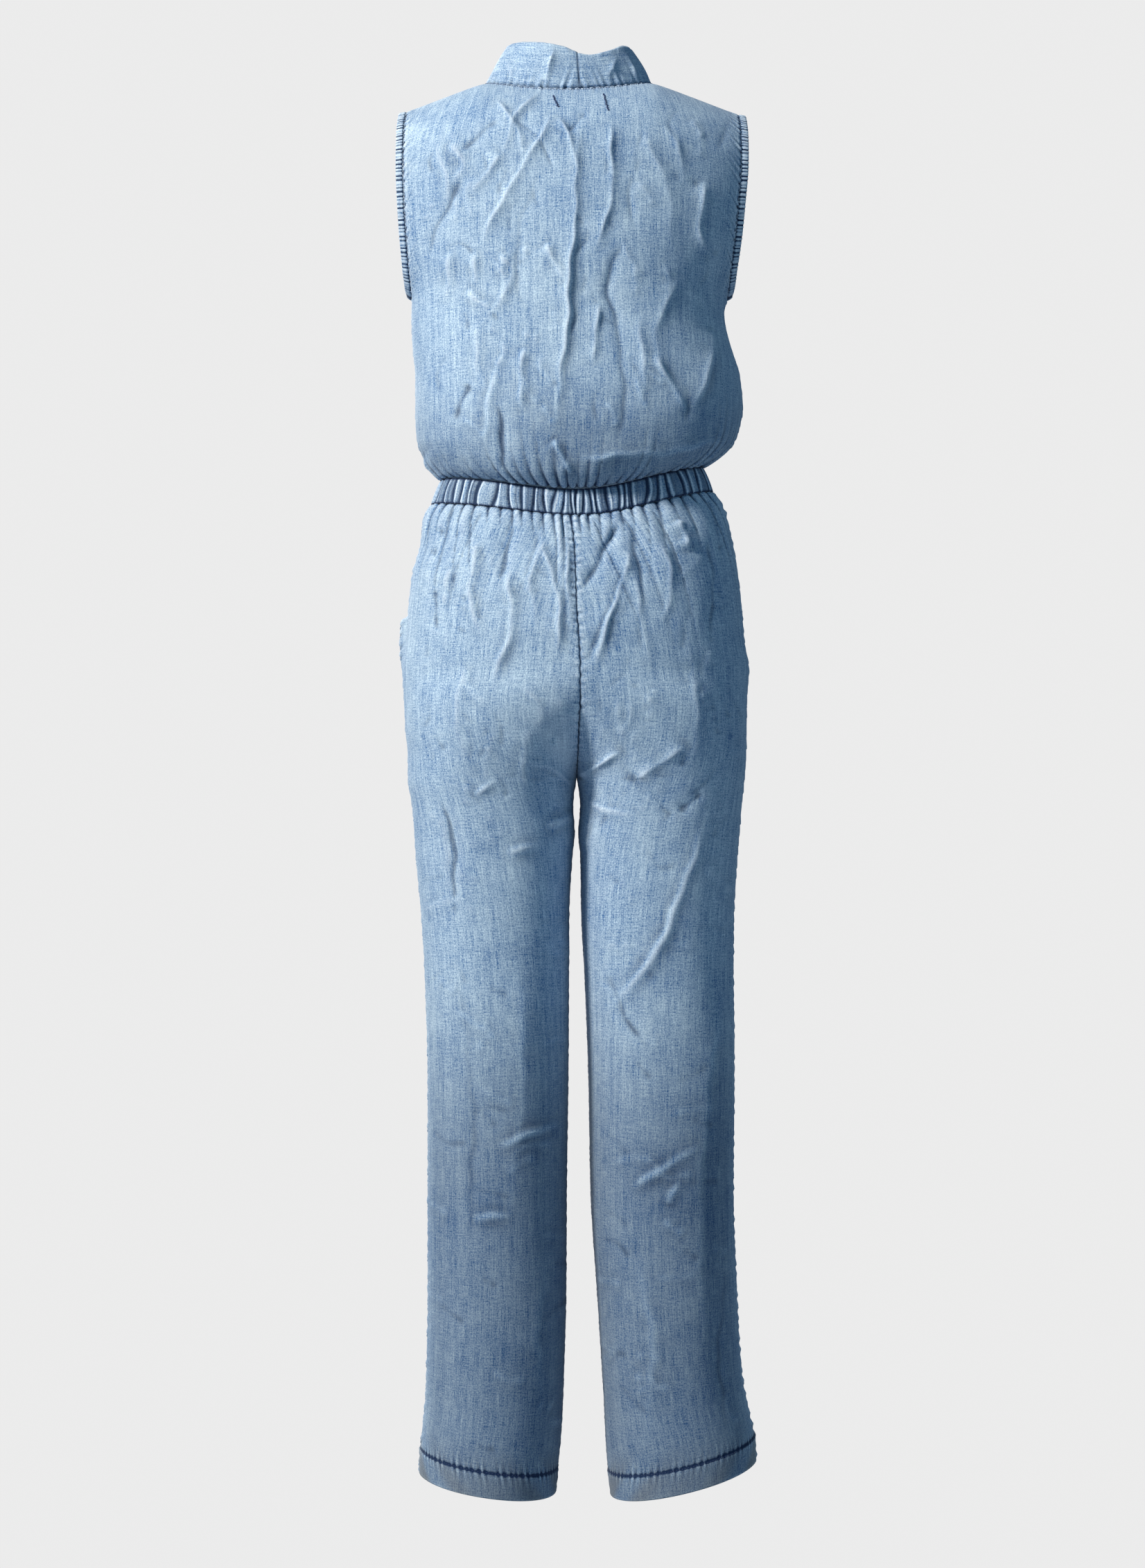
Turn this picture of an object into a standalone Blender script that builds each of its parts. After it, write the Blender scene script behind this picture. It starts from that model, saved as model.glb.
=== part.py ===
# A sleeveless jumpsuit in light denim, hollow and in its worn shape.
# +X is the garment's left, +Y its back, +Z up; the origin lies midway between the neck points.
# Sizes are millimetres here; MM turns them into Blender's metres when a mesh is made.
# A "height" is measured before the waist, the shoulders and the hems are tilted.

import math

import bpy
import numpy as np
from mathutils import Vector

MM = 0.001

# Driving sizes
CLOTH = 1.4
BAND_CLOTH = 1.6
CASING_CLOTH = 2.4
HEM_CLOTH = 2.4
HALF_GAP = 0.15
SEAM_GAP = 2 * HALF_GAP
SMALL_STEP = 1e-4

UNDERARM = -222.0
WAIST_TOP = -423.0
WAIST_FOOT = -449.0
POCKET_FOOT = -547.0
CROTCH = -710.0
HEM_LINE = -1405.0
HEM_FOOT = -1430.0

SHOULDER_ROUND = 84.0
SHOULDER_SLOPE = 0.365
SHOULDER_FADE = 150.0
SHOULDER_LINE = 1.0  # points this near the shoulder line are moved to its seam
NECK_CENTRE = 8.2
NECK_HALF_WIDTH = 86.2
NECK_DEPTH = 62.0
CENTRE_BACK_SEAM = -2.8

# The waist is higher at the sides than at the centre back, most on the wearer's right.
WAIST_RISE = {1: 18.0, -1: 31.0}
WAIST_RISE_FRONT = 10.0
BODICE_FADE = 123.0
TROUSER_FADE = 111.0

# The hems slope down towards the inseam.
HEM_SLOPE = {1: 0.150, -1: 0.245}
HEM_LEVEL_AT = {1: 81.0, -1: 84.0}
HEM_FADE_FROM = -1250.0

GATHERS = 64
GATHER_DRIFT = ((1.1, 4), (0.7, 12))
FOLD_FADE = 40.0  # folds ease off over this height beside the waist

# A normal points out when its flat part dotted with the place, plus this times its rise, is positive.
UP_WEIGHT = 60.0
EDGE_LIMIT = 0.98  # keeps a panel's edge short of the deepest line of its section

BUTTON_COUNT = 4
BUTTON_TOP = -165.0
BUTTON_STEP = 64.0
BUTTON_RADIUS = 5.75
BUTTON_THICK = 2.4
BUTTON_CLEAR = 0.6
BUTTON_BEVEL = 0.5

SIDES = {"left": 1, "right": -1}

# Bodice sections. left and right: reach of the panel's edge (side seam or armhole seam).
# edge_back and edge_front: how far that edge lies behind or before the side, 0 below the underarm.
BODICE_COLUMNS = ("height", "left", "right", "edge_back", "edge_front", "back", "front", "square")
BODICE_ROWS = (
    (0, 174, 165, 62, 58, 101, 94, 2.0),
    (-30, 175, 166, 62, 58, 104, 97, 2.0),
    (-85, 175, 165.5, 62, 58, 108, 104, 2.0),
    (-129, 174, 163, 60, 57, 112, 111, 2.05),
    (-160, 172.5, 160.5, 56, 54, 114, 115, 2.1),
    (-182, 171, 158, 50, 48, 114.5, 117, 2.15),
    (-198, 170, 156, 42, 41, 115, 118, 2.2),
    (-210, 169, 155, 31, 30, 115, 119, 2.2),
    (-218, 168.5, 154, 17, 16, 115, 119, 2.2),
    (-222, 168.5, 153.5, 0, 0, 115, 119, 2.2),
    (-240, 169, 149.5, 0, 0, 115, 120, 2.25),
    (-268, 168, 157, 0, 0, 116, 121, 2.3),
    (-300, 165, 167, 0, 0, 119, 122, 2.3),
    (-340, 165, 170, 0, 0, 125, 124, 2.3),
    (-360, 164.5, 168, 0, 0, 127, 124, 2.3),
    (-380, 163, 165, 0, 0, 125.5, 120, 2.3),
    (-396, 158, 160, 0, 0, 122.5, 111.4, 2.25),
    (-409, 151, 150, 0, 0, 116, 102.7, 2.2),
    (-418, 144.5, 138, 0, 0, 106, 97, 2.2),
    (-423, 138.5, 129, 0, 0, 95, 94, 2.2),
)

# Where the front edge of each front bodice lies, measured sideways from the centre front.
NECKLINE_COLUMNS = ("height", "left", "right")
NECKLINE_ROWS = (
    (0, 94.4, 78),
    (-30, 83, 69),
    (-70, 60, 51),
    (-110, 36, 32),
    (-145, 20, 19),
    (-175, 15, 15),
    (-423, 15, 15),
)

# Waistband and trouser sections. left, right: outer reach; inner: reach of the inner side,
# negative above the crotch, where the centre seams cut the section off. middle: the seams' drift.
TROUSER_COLUMNS = (
    "height", "left", "right", "inner_left", "inner_right", "back", "front", "square", "middle",
)
TROUSER_ROWS = (
    (-423, 138.5, 129, -138.5, -129, 95, 94, 2.2, 0),
    (-436, 143, 134, -143, -134, 97, 96, 2.2, 0),
    (-449, 149, 140, -149, -140, 99, 97, 2.2, 6),
    (-465, 157, 150, -157, -150, 106, 102, 2.25, 4),
    (-485, 160, 157.5, -160, -157.5, 113, 107, 2.3, 2),
    (-510, 168, 164, -168, -164, 121, 112, 2.3, 1),
    (-540, 172, 169, -172, -169, 127, 115, 2.3, 0),
    (-570, 175, 171.5, -175, -171.5, 131, 116, 2.3, -2),
    (-600, 178, 176, -178, -176, 131, 115, 2.3, -3.5),
    (-630, 176.5, 174, -88, -86, 128, 113, 2.3, -3.5),
    (-660, 175, 173.5, -36, -35, 121, 110, 2.3, -2),
    (-690, 172.5, 173, -9, -9, 112, 106, 2.3, -1),
    (-710, 172.5, 171.5, 0, 0, 106, 103, 2.3, 0),
    (-740, 168, 168.5, 3.5, 3.5, 99, 99, 2.3, 0),
    (-766, 166, 166.5, 2, 1.5, 95, 96.5, 2.3, 0),
    (-790, 164.5, 164.5, 4.3, 3.6, 92, 94, 2.3, 0),
    (-850, 159, 161, 7.5, 4.6, 88, 89, 2.25, 0),
    (-910, 155.5, 160.5, 7.8, 7.8, 85, 85, 2.2, 0),
    (-1020, 152.5, 161, 8.5, 12, 82, 80, 2.2, 0),
    (-1130, 152.5, 160.5, 10, 14, 80, 76, 2.15, 0),
    (-1240, 152.5, 164.5, 10.6, 21, 79, 73, 2.1, 0),
    (-1300, 153.5, 167.5, 12.4, 25, 79, 72, 2.1, 0),
    (-1340, 154.5, 171, 13.8, 27.7, 79, 71, 2.1, 0),
    (-1380, 157.5, 177.5, 16.3, 29.8, 80, 71, 2.1, 0),
    (-1405, 160, 182, 19, 32, 80, 71, 2.1, 0),
    (-1430, 161, 183.5, 21.5, 35, 80, 71, 2.1, 0),
)

# How far the gathers stand out, fading away from the waistband.
GATHER_COLUMNS = ("height", "depth")
GATHER_ROWS = (
    (-300, 0),
    (-350, 0),
    (-380, 1.4),
    (-405, 2.6),
    (-418, 2.2),
    (-423, 1.4),
    (-449, 1.5),
    (-462, 2.7),
    (-490, 2.2),
    (-525, 1.0),
    (-560, 0),
    (-600, 0),
)

# Folds are soft strokes on the back (x, height of each end, sideways bow), ridges when deep > 0.
FOLD_COLUMNS = ("x1", "z1", "x2", "z2", "bow", "wide", "deep")
BODICE_FOLDS = (
    (1, -70, 12, -300, 3, 15, 4.0),
    (14, -290, 32, -385, 2, 16, 4.0),
    (-33, -60, -18, -195, -6, 14, 3.5),
    (24, -60, 98, -180, -8, 14, -4.0),
    (60, -150, 120, -235, 6, 18, 4.0),
    (112, -110, 146, -200, -4, 16, -3.5),
    (-54, -175, -46, -270, 16, 15, -4.0),
    (-46, -280, -42, -375, -4, 16, -4.0),
    (-124, -110, -130, -200, 4, 18, 3.5),
    (-78, -290, -116, -350, 3, 16, 3.5),
    (80, -300, 93, -380, 3, 15, -5.0),
    (56, -290, 60, -390, 0, 14, 4.0),
    (125, -180, 130, -240, 0, 15, 3.5),
    (110, -320, 124, -375, 2, 15, -3.5),
    (-90, -200, -70, -300, 6, 22, 3.0),
)
TROUSER_FOLDS = (
    (-42, -460, -4, -530, -3, 13, -4.5),
    (-56, -490, -22, -605, -3, 15, 4.0),
    (66, -465, 78, -535, 2, 13, -4.5),
    (40, -480, 20, -600, -3, 15, 3.5),
    (-64, -460, -66, -590, 2, 14, -3.5),
    (66, -540, 84, -625, 3, 16, 3.5),
    (130, -480, 138, -560, 0, 14, -3.0),
    (-108, -470, -114, -560, 0, 15, 3.0),
    (50, -640, 52, -740, 0, 18, 3.0),
    (132, -738, 121, -850, 2, 15, -5.0),
    (-124, -760, -30, -950, -8, 22, 6.0),
    (-96, -740, -44, -900, -6, 20, -4.0),
    (-20, -702, -100, -676, 4, 16, 4.0),
    (-126, -728, -98, -748, 0, 14, -3.0),
    (90, -820, 40, -1000, 6, 26, -3.5),
    (-120, -1080, -70, -1240, 6, 26, 3.0),
)
FRONT_BODICE_FOLDS = (
    (150, -120, 70, -260, 8, 18, -3.5),
    (-142, -120, -70, -250, -8, 18, -3.5),
    (90, -270, 96, -370, 2, 16, 4.0),
    (-86, -270, -94, -370, 2, 16, 4.0),
    (50, -300, 56, -385, 0, 14, -3.5),
    (-52, -300, -50, -385, 0, 14, -3.5),
)
FRONT_TROUSER_FOLDS = (
    (12, -702, 90, -668, -5, 16, 4.0),
    (-12, -702, -92, -664, 5, 16, 4.0),
    (50, -480, 42, -590, 2, 14, -3.5),
    (-48, -480, -44, -580, 2, 14, -3.5),
    (120, -760, 60, -930, 6, 22, 4.0),
    (-118, -760, -58, -920, -6, 22, 4.0),
    (96, -1010, 70, -1180, 4, 26, -3.0),
    (-100, -1030, -80, -1190, -4, 26, -3.0),
)

# The collar's width and how far it stands up from the cloth, from the centre back down the front.
COLLAR_COLUMNS = ("place", "wide_left", "wide_right", "stand")
COLLAR_ROWS = (
    (0.00, 38, 37, 50),
    (0.08, 44, 34.5, 52),
    (0.20, 47, 38, 54),
    (0.31, 47, 44, 54),
    (0.40, 42, 41, 34),
    (0.48, 35.5, 35.5, 13),
    (0.60, 30.5, 30.5, 4),
    (0.80, 28.5, 28.5, 0),
    (1.00, 28.5, 28.5, 0),
)
# place 0 is the centre back, NECK_PLACE the neck point, BREAK_PLACE the foot of the V, 1 the waist.
NECK_PLACE = 0.34
BREAK_PLACE, BREAK_HEIGHT = 0.70, -175.0
LAP_FROM, LAP_FULL = 0.46, 0.57
FLAT_FROM, FLAT_FULL = 0.40, 0.52
LAP = {"left": -1.0, "right": 0.95}
COLLAR_BULGE = 1.5

BINDING_WIDTH = 7.0
BINDING_GAP = 0.4
BINDING_RAISE = 0.5

# The pocket mouth: how far round from the side seam the front starts, as a share of the quarter.
POCKET_SHARE, POCKET_BOW = 0.36, 0.8
POCKET_TUCK = 0.035
POCKET_CLEAR = 1.05
POCKET_STAY = 0.1
POCKET_STAY_COLUMNS, FACING_COLUMNS = 6, 9
FACING_HEIGHTS = (-449.2, -458, -472, -496, -526, -538)

BLEND_DROP = 1.9  # the neck seam's drop is shared out over this much of the back
BODICE_GATHER_HEIGHTS = (-422.8, -417.5, -409, -392, -364)
BODICE_HEIGHTS = (-336, -308, -278, -250, -232, -222, -218, -210, -198, -182, -158, -130, -104)
SHOULDER_TURNS = (84, 64, 42, 20, 0)
TROUSER_GATHER_HEIGHTS = (-449.2, -458, -472, -496, -526)
BACK_HEIGHTS = (
    -556, -588, -620, -645, -665, -682, -696, -705, -710,
    -722, -744, -768, -805, -850, -900, -960, -1040, -1140, -1240, -1330, -1380,
)
FRONT_HEIGHTS = (
    -590, -630, -660, -685, -698, -706, -710,
    -725, -766, -830, -910, -1020, -1130, -1240, -1340, -1380,
)
HEM_HEIGHTS = (-1404, -1406, -1430)
BACK_FIELDS = (7, 8, 7, 7)
NECK_CORNERS = (NECK_CENTRE + NECK_HALF_WIDTH, CENTRE_BACK_SEAM, NECK_CENTRE - NECK_HALF_WIDTH)
BODICE_FRONT_FIELDS = 12
TROUSER_BACK_FIELDS, TROUSER_FRONT_FIELDS = 14, 10
CASING_FIELDS = 160
CASING_MIDDLE, CASING_WAVE, CASING_BARREL = -436.0, 1.5, 1.2
FRONT_CALM, SEAM_CALM, SEAM_SLACK = 0.08, 0.1, 0.02
SHARP_ANGLE = 50.0


def table(columns, rows):
    data = np.array(sorted(rows), float)
    return dict(zip(columns, data.T))


def read(source, column, at, key="height"):
    """The table's value between its rows: a cubic that never overshoots a row."""
    x, y = source[key], source[column]
    width = np.diff(x)
    slope = np.diff(y) / width
    tangent = np.concatenate([slope[:1], np.zeros(len(x) - 2), slope[-1:]])
    before, after = slope[:-1], slope[1:]
    steady = before * after > 0
    tangent[1:-1][steady] = 2 * (before * after)[steady] / (before + after)[steady]
    at = np.clip(np.asarray(at, float), x[0], x[-1])
    i = np.clip(np.searchsorted(x, at) - 1, 0, len(width) - 1)
    t = (at - x[i]) / width[i]
    rise = y[i + 1] - y[i]
    start, end = tangent[i] * width[i], tangent[i + 1] * width[i]
    return y[i] + t * (start + t * (3 * rise - 2 * start - end + t * (start + end - 2 * rise)))


BODICE = table(BODICE_COLUMNS, BODICE_ROWS)
NECKLINE = table(NECKLINE_COLUMNS, NECKLINE_ROWS)
TROUSERS = table(TROUSER_COLUMNS, TROUSER_ROWS)
GATHER = table(GATHER_COLUMNS, GATHER_ROWS)
COLLAR = table(COLLAR_COLUMNS, COLLAR_ROWS)
GATHER_FOOT = TROUSER_GATHER_HEIGHTS[0]


def smooth(t):
    t = np.clip(t, 0, 1)
    return t * t * (3 - 2 * t)


def unit(vectors):
    return vectors / np.maximum(np.linalg.norm(vectors, axis=-1, keepdims=True), 1e-9)


def gather_phase(angle):
    """The gathers' running angle round the waist, uneven but still at every seam."""
    drift = sum(size * np.sin(turns * angle) for size, turns in GATHER_DRIFT)
    return GATHERS * angle + drift


def gather_angles(start, end):
    """The seams at both ends and every crest and valley of the gathers between them."""
    first = math.ceil(gather_phase(start) / math.pi + 0.25)
    last = math.floor(gather_phase(end) / math.pi - 0.25)
    angles = [start]
    for k in range(first, last + 1):
        angle = start
        for _ in range(40):
            angle += ((k + 0.5) * math.pi - gather_phase(angle)) / GATHERS * 0.8
        if start < angle < end:
            angles.append(angle)
    return np.array(angles + [end])


def fold_height(folds, x, z):
    """The sum of bowed strokes: deep * exp(-(distance / wide)^2), tapered over each stroke's ends."""
    total = np.zeros(np.broadcast(x, z).shape)
    for row in folds:
        fold = dict(zip(FOLD_COLUMNS, row))
        along = np.array([fold["x2"] - fold["x1"], fold["z2"] - fold["z1"]], float)
        length = np.hypot(*along)
        along /= length
        dx, dz = x - fold["x1"], z - fold["z1"]
        place = (dx * along[0] + dz * along[1]) / length
        off = dx * along[1] - dz * along[0] - fold["bow"] * 4 * place * (1 - place)
        taper = smooth((place + 0.12) / 0.4) * smooth((1.12 - place) / 0.4)
        total += fold["deep"] * taper * np.exp(-((off / fold["wide"]) ** 2))
    return total


def polar_reach(angle, wide, deep, square):
    """Distance from the centre of a superellipse to its line at this angle."""
    across = np.abs(np.cos(angle) / wide) ** square
    along = np.abs(np.sin(angle) / deep) ** square
    return (across + along) ** (-1 / square)


def waist_tilt(angle, height):
    """angle 0 is the wearer's left, pi/2 the back, pi the right and -pi/2 the front."""
    side = np.where(np.cos(angle) > 0, WAIST_RISE[1], WAIST_RISE[-1]) * np.cos(angle) ** 2
    front = WAIST_RISE_FRONT * np.where(np.sin(angle) < 0, np.sin(angle) ** 2, 0)
    above = smooth(1 - (height - WAIST_TOP) / BODICE_FADE)
    below = smooth(1 - (WAIST_FOOT - height) / TROUSER_FADE)
    return (side + front) * np.minimum(above, below)


def drop_height(drop):
    """Height of a bodice row from its turn over the shoulder: a quarter round, then straight down."""
    turn = np.minimum(drop, math.pi / 2)
    return -SHOULDER_ROUND * (1 - np.cos(turn) + drop - turn)


def height_drop(height):
    turn = np.arccos(np.clip(1 + height / SHOULDER_ROUND, 0, 1))
    return turn + np.maximum(0, -height / SHOULDER_ROUND - 1)


def bodice_edge(side, facing, height):
    """(reach, depth) of the panel's outer edge; side 1 or -1, facing 'back' or 'front'."""
    return (
        read(BODICE, "left" if side > 0 else "right", height),
        read(BODICE, f"edge_{facing}", height),
    )


def bodice_point(angle, drop, facing, waist_angle, calm=1.0):
    """A point of the bodice; waist_angle says which gather the column runs down to."""
    height = drop_height(drop)
    left, depth = bodice_edge(1, facing, height)
    right, _ = bodice_edge(-1, facing, height)
    deep = read(BODICE, facing, height)
    square = read(BODICE, "square", height)
    widen = (1 - np.minimum(depth / deep, EDGE_LIMIT) ** square) ** (-1 / square)
    wide = np.where(np.cos(angle) > 0, left, right) * widen
    turn = np.sin(np.minimum(drop, math.pi / 2))
    reach = polar_reach(angle, wide, deep, square)
    x = reach * np.cos(angle)
    y = reach * np.sin(angle) * turn
    beyond = np.maximum(0, np.abs(x - NECK_CENTRE) - NECK_HALF_WIDTH)
    slope = SHOULDER_SLOPE * beyond * smooth(1 + height / SHOULDER_FADE)
    z = height + waist_tilt(angle, height) - slope
    gathers = calm * read(GATHER, "depth", height) * np.sin(gather_phase(waist_angle))
    folds = fold_height(BODICE_FOLDS if facing == "back" else FRONT_BODICE_FOLDS, x, z)
    out = gathers + folds * turn**2 * smooth((height - WAIST_TOP) / FOLD_FADE)
    return np.stack([x + out * np.cos(angle) * turn, y + out * np.sin(angle) * turn, z], -1)


def solve(function, low, high):
    """Where a rising function crosses 0."""
    for _ in range(50):
        middle = (low + high) / 2
        if function(middle) > 0:
            high = middle
        else:
            low = middle
    return (low + high) / 2


def back_angles(share, drop):
    """The angle of a back column: share 0 at the left edge, 1 at the right."""
    height = drop_height(drop)
    left, depth = bodice_edge(1, "back", height)
    right, _ = bodice_edge(-1, "back", height)
    start, end = np.arctan2(depth, left), math.pi - np.arctan2(depth, right)
    return start + share * (end - start)


def back_point(share, drop):
    return bodice_point(back_angles(share, drop), drop, "back", math.pi * share)


def front_angles(side, share, drop):
    height = drop_height(drop)
    edge, depth = bodice_edge(side, "front", height)
    deep = read(BODICE, "front", height)
    square = read(BODICE, "square", height)
    wide = edge * (1 - np.minimum(depth / deep, EDGE_LIMIT) ** square) ** (-1 / square)
    inner = read(NECKLINE, "left" if side > 0 else "right", height)
    ahead = deep * (1 - (inner / wide) ** square) ** (1 / square)
    start, end = -np.arctan2(depth, edge), -np.arctan2(ahead, inner)
    angle = start + share * (end - start)
    return angle if side > 0 else -math.pi - angle


def front_point(side, share, drop):
    waist_end = front_angles(side, 1.0, height_drop(np.array(WAIST_TOP)))
    waist_start = 0.0 if side > 0 else -math.pi
    waist_angle = waist_start + share * (waist_end - waist_start)
    calm = smooth((1 - share) / FRONT_CALM)
    return bodice_point(front_angles(side, share, drop), drop, "front", waist_angle, calm)


def chest_depth(x, z):
    """How far forward the smooth front of the bodice lies near its middle."""
    height = z
    for _ in range(4):
        height = z - waist_tilt(np.full(np.shape(z), -math.pi / 2), height)
    left, depth = bodice_edge(1, "front", height)
    right, _ = bodice_edge(-1, "front", height)
    deep = read(BODICE, "front", height)
    square = read(BODICE, "square", height)
    widen = (1 - np.minimum(depth / deep, EDGE_LIMIT) ** square) ** (-1 / square)
    wide = np.where(x > 0, left, right) * widen
    turn = np.sin(np.minimum(height_drop(height), math.pi / 2))
    return -deep * turn * (1 - np.minimum(np.abs(x) / wide, EDGE_LIMIT) ** square) ** (1 / square)


def normals(function, share, other):
    """Unit normals by small steps along both directions of a surface."""
    across = function(share + SMALL_STEP, other) - function(share - SMALL_STEP, other)
    down = function(share, other + SMALL_STEP) - function(share, other - SMALL_STEP)
    return unit(np.cross(across, down))


def wall(name, outer, inner, material, ring=False):
    """A closed body between an outer and an inner surface, each a list of rows of points."""
    points = np.concatenate(outer + inner)
    starts = np.cumsum([0] + [len(row) for row in outer + inner])
    count = len(outer)
    faces = []

    def strip(first, second, flip):
        a, b = starts[first], starts[second]
        many, few = len((outer + inner)[first]), len((outer + inner)[second])
        i = j = 0
        last_i, last_j = (many, few) if ring else (many - 1, few - 1)
        while i < last_i or j < last_j:
            quad = many == few
            p, q = a + i % many, b + j % few
            p2, q2 = a + (i + 1) % many, b + (j + 1) % few
            if quad:
                face = (p, q, q2, p2)
                i, j = i + 1, j + 1
            elif j == last_j or (i < last_i and (i + 1) / last_i <= (j + 1) / last_j):
                face = (p, q, p2)
                i += 1
            else:
                face = (p, q, q2)
                j += 1
            faces.append(face[::-1] if flip else face)

    for k in range(count - 1):
        strip(k, k + 1, False)
        strip(count + k, count + k + 1, True)
    strip(0, count, True)
    strip(count - 1, 2 * count - 1, False)
    if not ring:
        for k in range(count - 1):
            for end, flip in ((0, True), (-1, False)):
                a = starts[k] + (len(outer[k]) - 1 if end else 0)
                b = starts[k + 1] + (len(outer[k + 1]) - 1 if end else 0)
                c = starts[count + k + 1] + (len(inner[k + 1]) - 1 if end else 0)
                d = starts[count + k] + (len(inner[k]) - 1 if end else 0)
                faces.append((a, b, c, d)[::-1] if flip else (a, b, c, d))
    mesh = bpy.data.meshes.new(name)
    mesh.from_pydata((points * MM).tolist(), [], [tuple(map(int, face)) for face in faces])
    mesh.materials.append(material)
    mesh.validate()
    mesh.shade_smooth()
    mesh.set_sharp_from_angle(angle=math.radians(SHARP_ANGLE))
    body = bpy.data.objects.new(name, mesh)
    collection.objects.link(body)
    if signed_volume(mesh) < 0:
        mesh.flip_normals()
    return body


def signed_volume(mesh):
    mesh.calc_loop_triangles()
    corners = np.array([[mesh.vertices[v].co[:] for v in tri.vertices] for tri in mesh.loop_triangles])
    return np.einsum("ij,ij->", corners[:, 0], np.cross(corners[:, 1], corners[:, 2])) / 6


def level(normal):
    """The same direction laid flat, so that a wall's end at a waist seam is level."""
    flat = normal * np.array([1, 1, 0])
    return unit(flat)


def keep_clear(row, inner, axis, toward, limit=0.0):
    """Moves a seam's end points to their side of the seam's plane."""
    for points in (row, inner):
        if toward > 0:
            points[..., axis] = np.maximum(points[..., axis], limit + HALF_GAP)
        else:
            points[..., axis] = np.minimum(points[..., axis], limit - HALF_GAP)


def bodice_rows(point, shares, heights, top, facing, level_foot, straight_edge):
    """Outer and inner rows of a bodice panel for one set of columns."""
    outer, inner = [], []
    for drop in heights:
        drops = drop + top(shares) * np.clip(1 - drop / BLEND_DROP, 0, 1)
        row = point(shares, drops)
        normal = normals(point, shares, drops)
        if np.any(np.sum(normal[:, :2] * row[:, :2], axis=1) + normal[:, 2] * UP_WEIGHT < 0):
            normal = -normal
        if level_foot and drop == heights[-1]:
            normal = level(normal)
        within = row - CLOTH * normal
        toward = 1 if facing == "back" else -1
        for end in straight_edge(drop):
            keep_clear(row[end : end + 1] if end == 0 else row[-1:],
                       within[end : end + 1] if end == 0 else within[-1:], 1, toward)
        if drop < 1e-6:
            shoulder = np.abs(row[:, 1]) < SHOULDER_LINE
            row[shoulder, 1] = within[shoulder, 1] = toward * HALF_GAP
        outer.append(row)
        inner.append(within)
    return outer, inner


BODICE_DROPS = [math.radians(turn) for turn in sorted(SHOULDER_TURNS)]
BODICE_DROPS += [float(height_drop(np.array(h))) for h in sorted(BODICE_HEIGHTS, reverse=True)]
GATHER_DROPS = [float(height_drop(np.array(h))) for h in sorted(BODICE_GATHER_HEIGHTS, reverse=True)]
UNDERARM_DROP = float(height_drop(np.array(UNDERARM)))


def neck_drop(share):
    """How far over the shoulder's round the neck seam lies, for one back column."""
    def past_neck(drop):
        x, y, _ = back_point(share, np.array(drop))
        place = (x - NECK_CENTRE) / NECK_HALF_WIDTH
        return y - NECK_DEPTH * math.sqrt(max(0.0, 1 - place * place))

    return solve(past_neck, 0.0, math.pi / 2)


def neck_share(x_at):
    return solve(lambda share: x_at - back_point(share, np.array(0.0))[0], 0.0, 1.0)


def back_columns():
    """Columns with one at each neck point and one at the collar's centre-back seam."""
    corners = [0.0] + [neck_share(x) for x in NECK_CORNERS] + [1.0]
    columns = [np.array([0.0])]
    for start, end, fields in zip(corners, corners[1:], BACK_FIELDS):
        columns.append(np.linspace(start, end, fields + 1)[1:])
    return np.concatenate(columns)


def below_underarm(drop):
    return (0, -1) if drop >= UNDERARM_DROP - 1e-6 else ()


def make_back_bodice():
    columns = back_columns()
    neck = {share: neck_drop(share) for share in columns}

    def top(shares):
        return np.array([neck[share] for share in shares])

    outer, inner = bodice_rows(back_point, columns, BODICE_DROPS, top, "back", False, below_underarm)
    gathered = gather_angles(0.0, math.pi) / math.pi
    more = bodice_rows(back_point, gathered, GATHER_DROPS, np.zeros_like, "back", True, below_underarm)
    wall("back_bodice", outer + more[0], inner + more[1], denim)


def make_front_bodice(name):
    side = SIDES[name]

    def point(share, drop):
        return front_point(side, share, drop)

    def straight(drop):
        return (0,) if drop >= UNDERARM_DROP - 1e-6 else ()

    columns = np.linspace(0, 1, BODICE_FRONT_FIELDS + 1)
    outer, inner = bodice_rows(point, columns, BODICE_DROPS, np.zeros_like, "front", False, straight)
    waist_end = abs(float(front_angles(side, 1.0, height_drop(np.array(WAIST_TOP)))))
    span = waist_end if side > 0 else math.pi - waist_end
    gathered = gather_angles(0.0, span) / span
    more = bodice_rows(point, gathered, GATHER_DROPS, np.zeros_like, "front", True, straight)
    wall(f"front_bodice_{name}", outer + more[0], inner + more[1], denim)


def collar_seam(name):
    """Stations down the collar's seam: (place, point, normal, direction away from the panel)."""
    side = SIDES[name]
    centre = neck_share(CENTRE_BACK_SEAM)
    neck_point = neck_share(NECK_CENTRE + side * NECK_HALF_WIDTH)
    stations = []
    columns = back_columns()
    between = columns[(columns - centre) * (columns - neck_point) < 1e-9]
    for share in between[::-side]:
        drop = max(neck_drop(share), 1e-6)
        place = NECK_PLACE * (share - centre) / (neck_point - centre)
        stations.append((place, back_point(share, drop), normals(back_point, share, drop)))
    steep, waist = float(height_drop(np.array(BREAK_HEIGHT))), GATHER_DROPS[-1]

    def point(share, drop):
        return front_point(side, share, drop)

    for drop in BODICE_DROPS[1:] + GATHER_DROPS:
        if drop <= steep:
            place = NECK_PLACE + (BREAK_PLACE - NECK_PLACE) * drop / steep
        else:
            place = BREAK_PLACE + (1 - BREAK_PLACE) * (drop - steep) / (waist - steep)
        stations.append((place, point(1.0, drop), normals(point, 1.0, drop)))
    places = np.array([s[0] for s in stations])
    points = np.array([s[1] for s in stations])
    outward = np.array([s[2] for s in stations])
    inward = np.sum(outward[:, :2] * points[:, :2], 1) + UP_WEIGHT * outward[:, 2] < 0
    outward[inward] *= -1
    along = unit(np.gradient(points, axis=0))
    away = unit(np.cross(along, outward)) * side
    return places, points, outward, away


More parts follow.
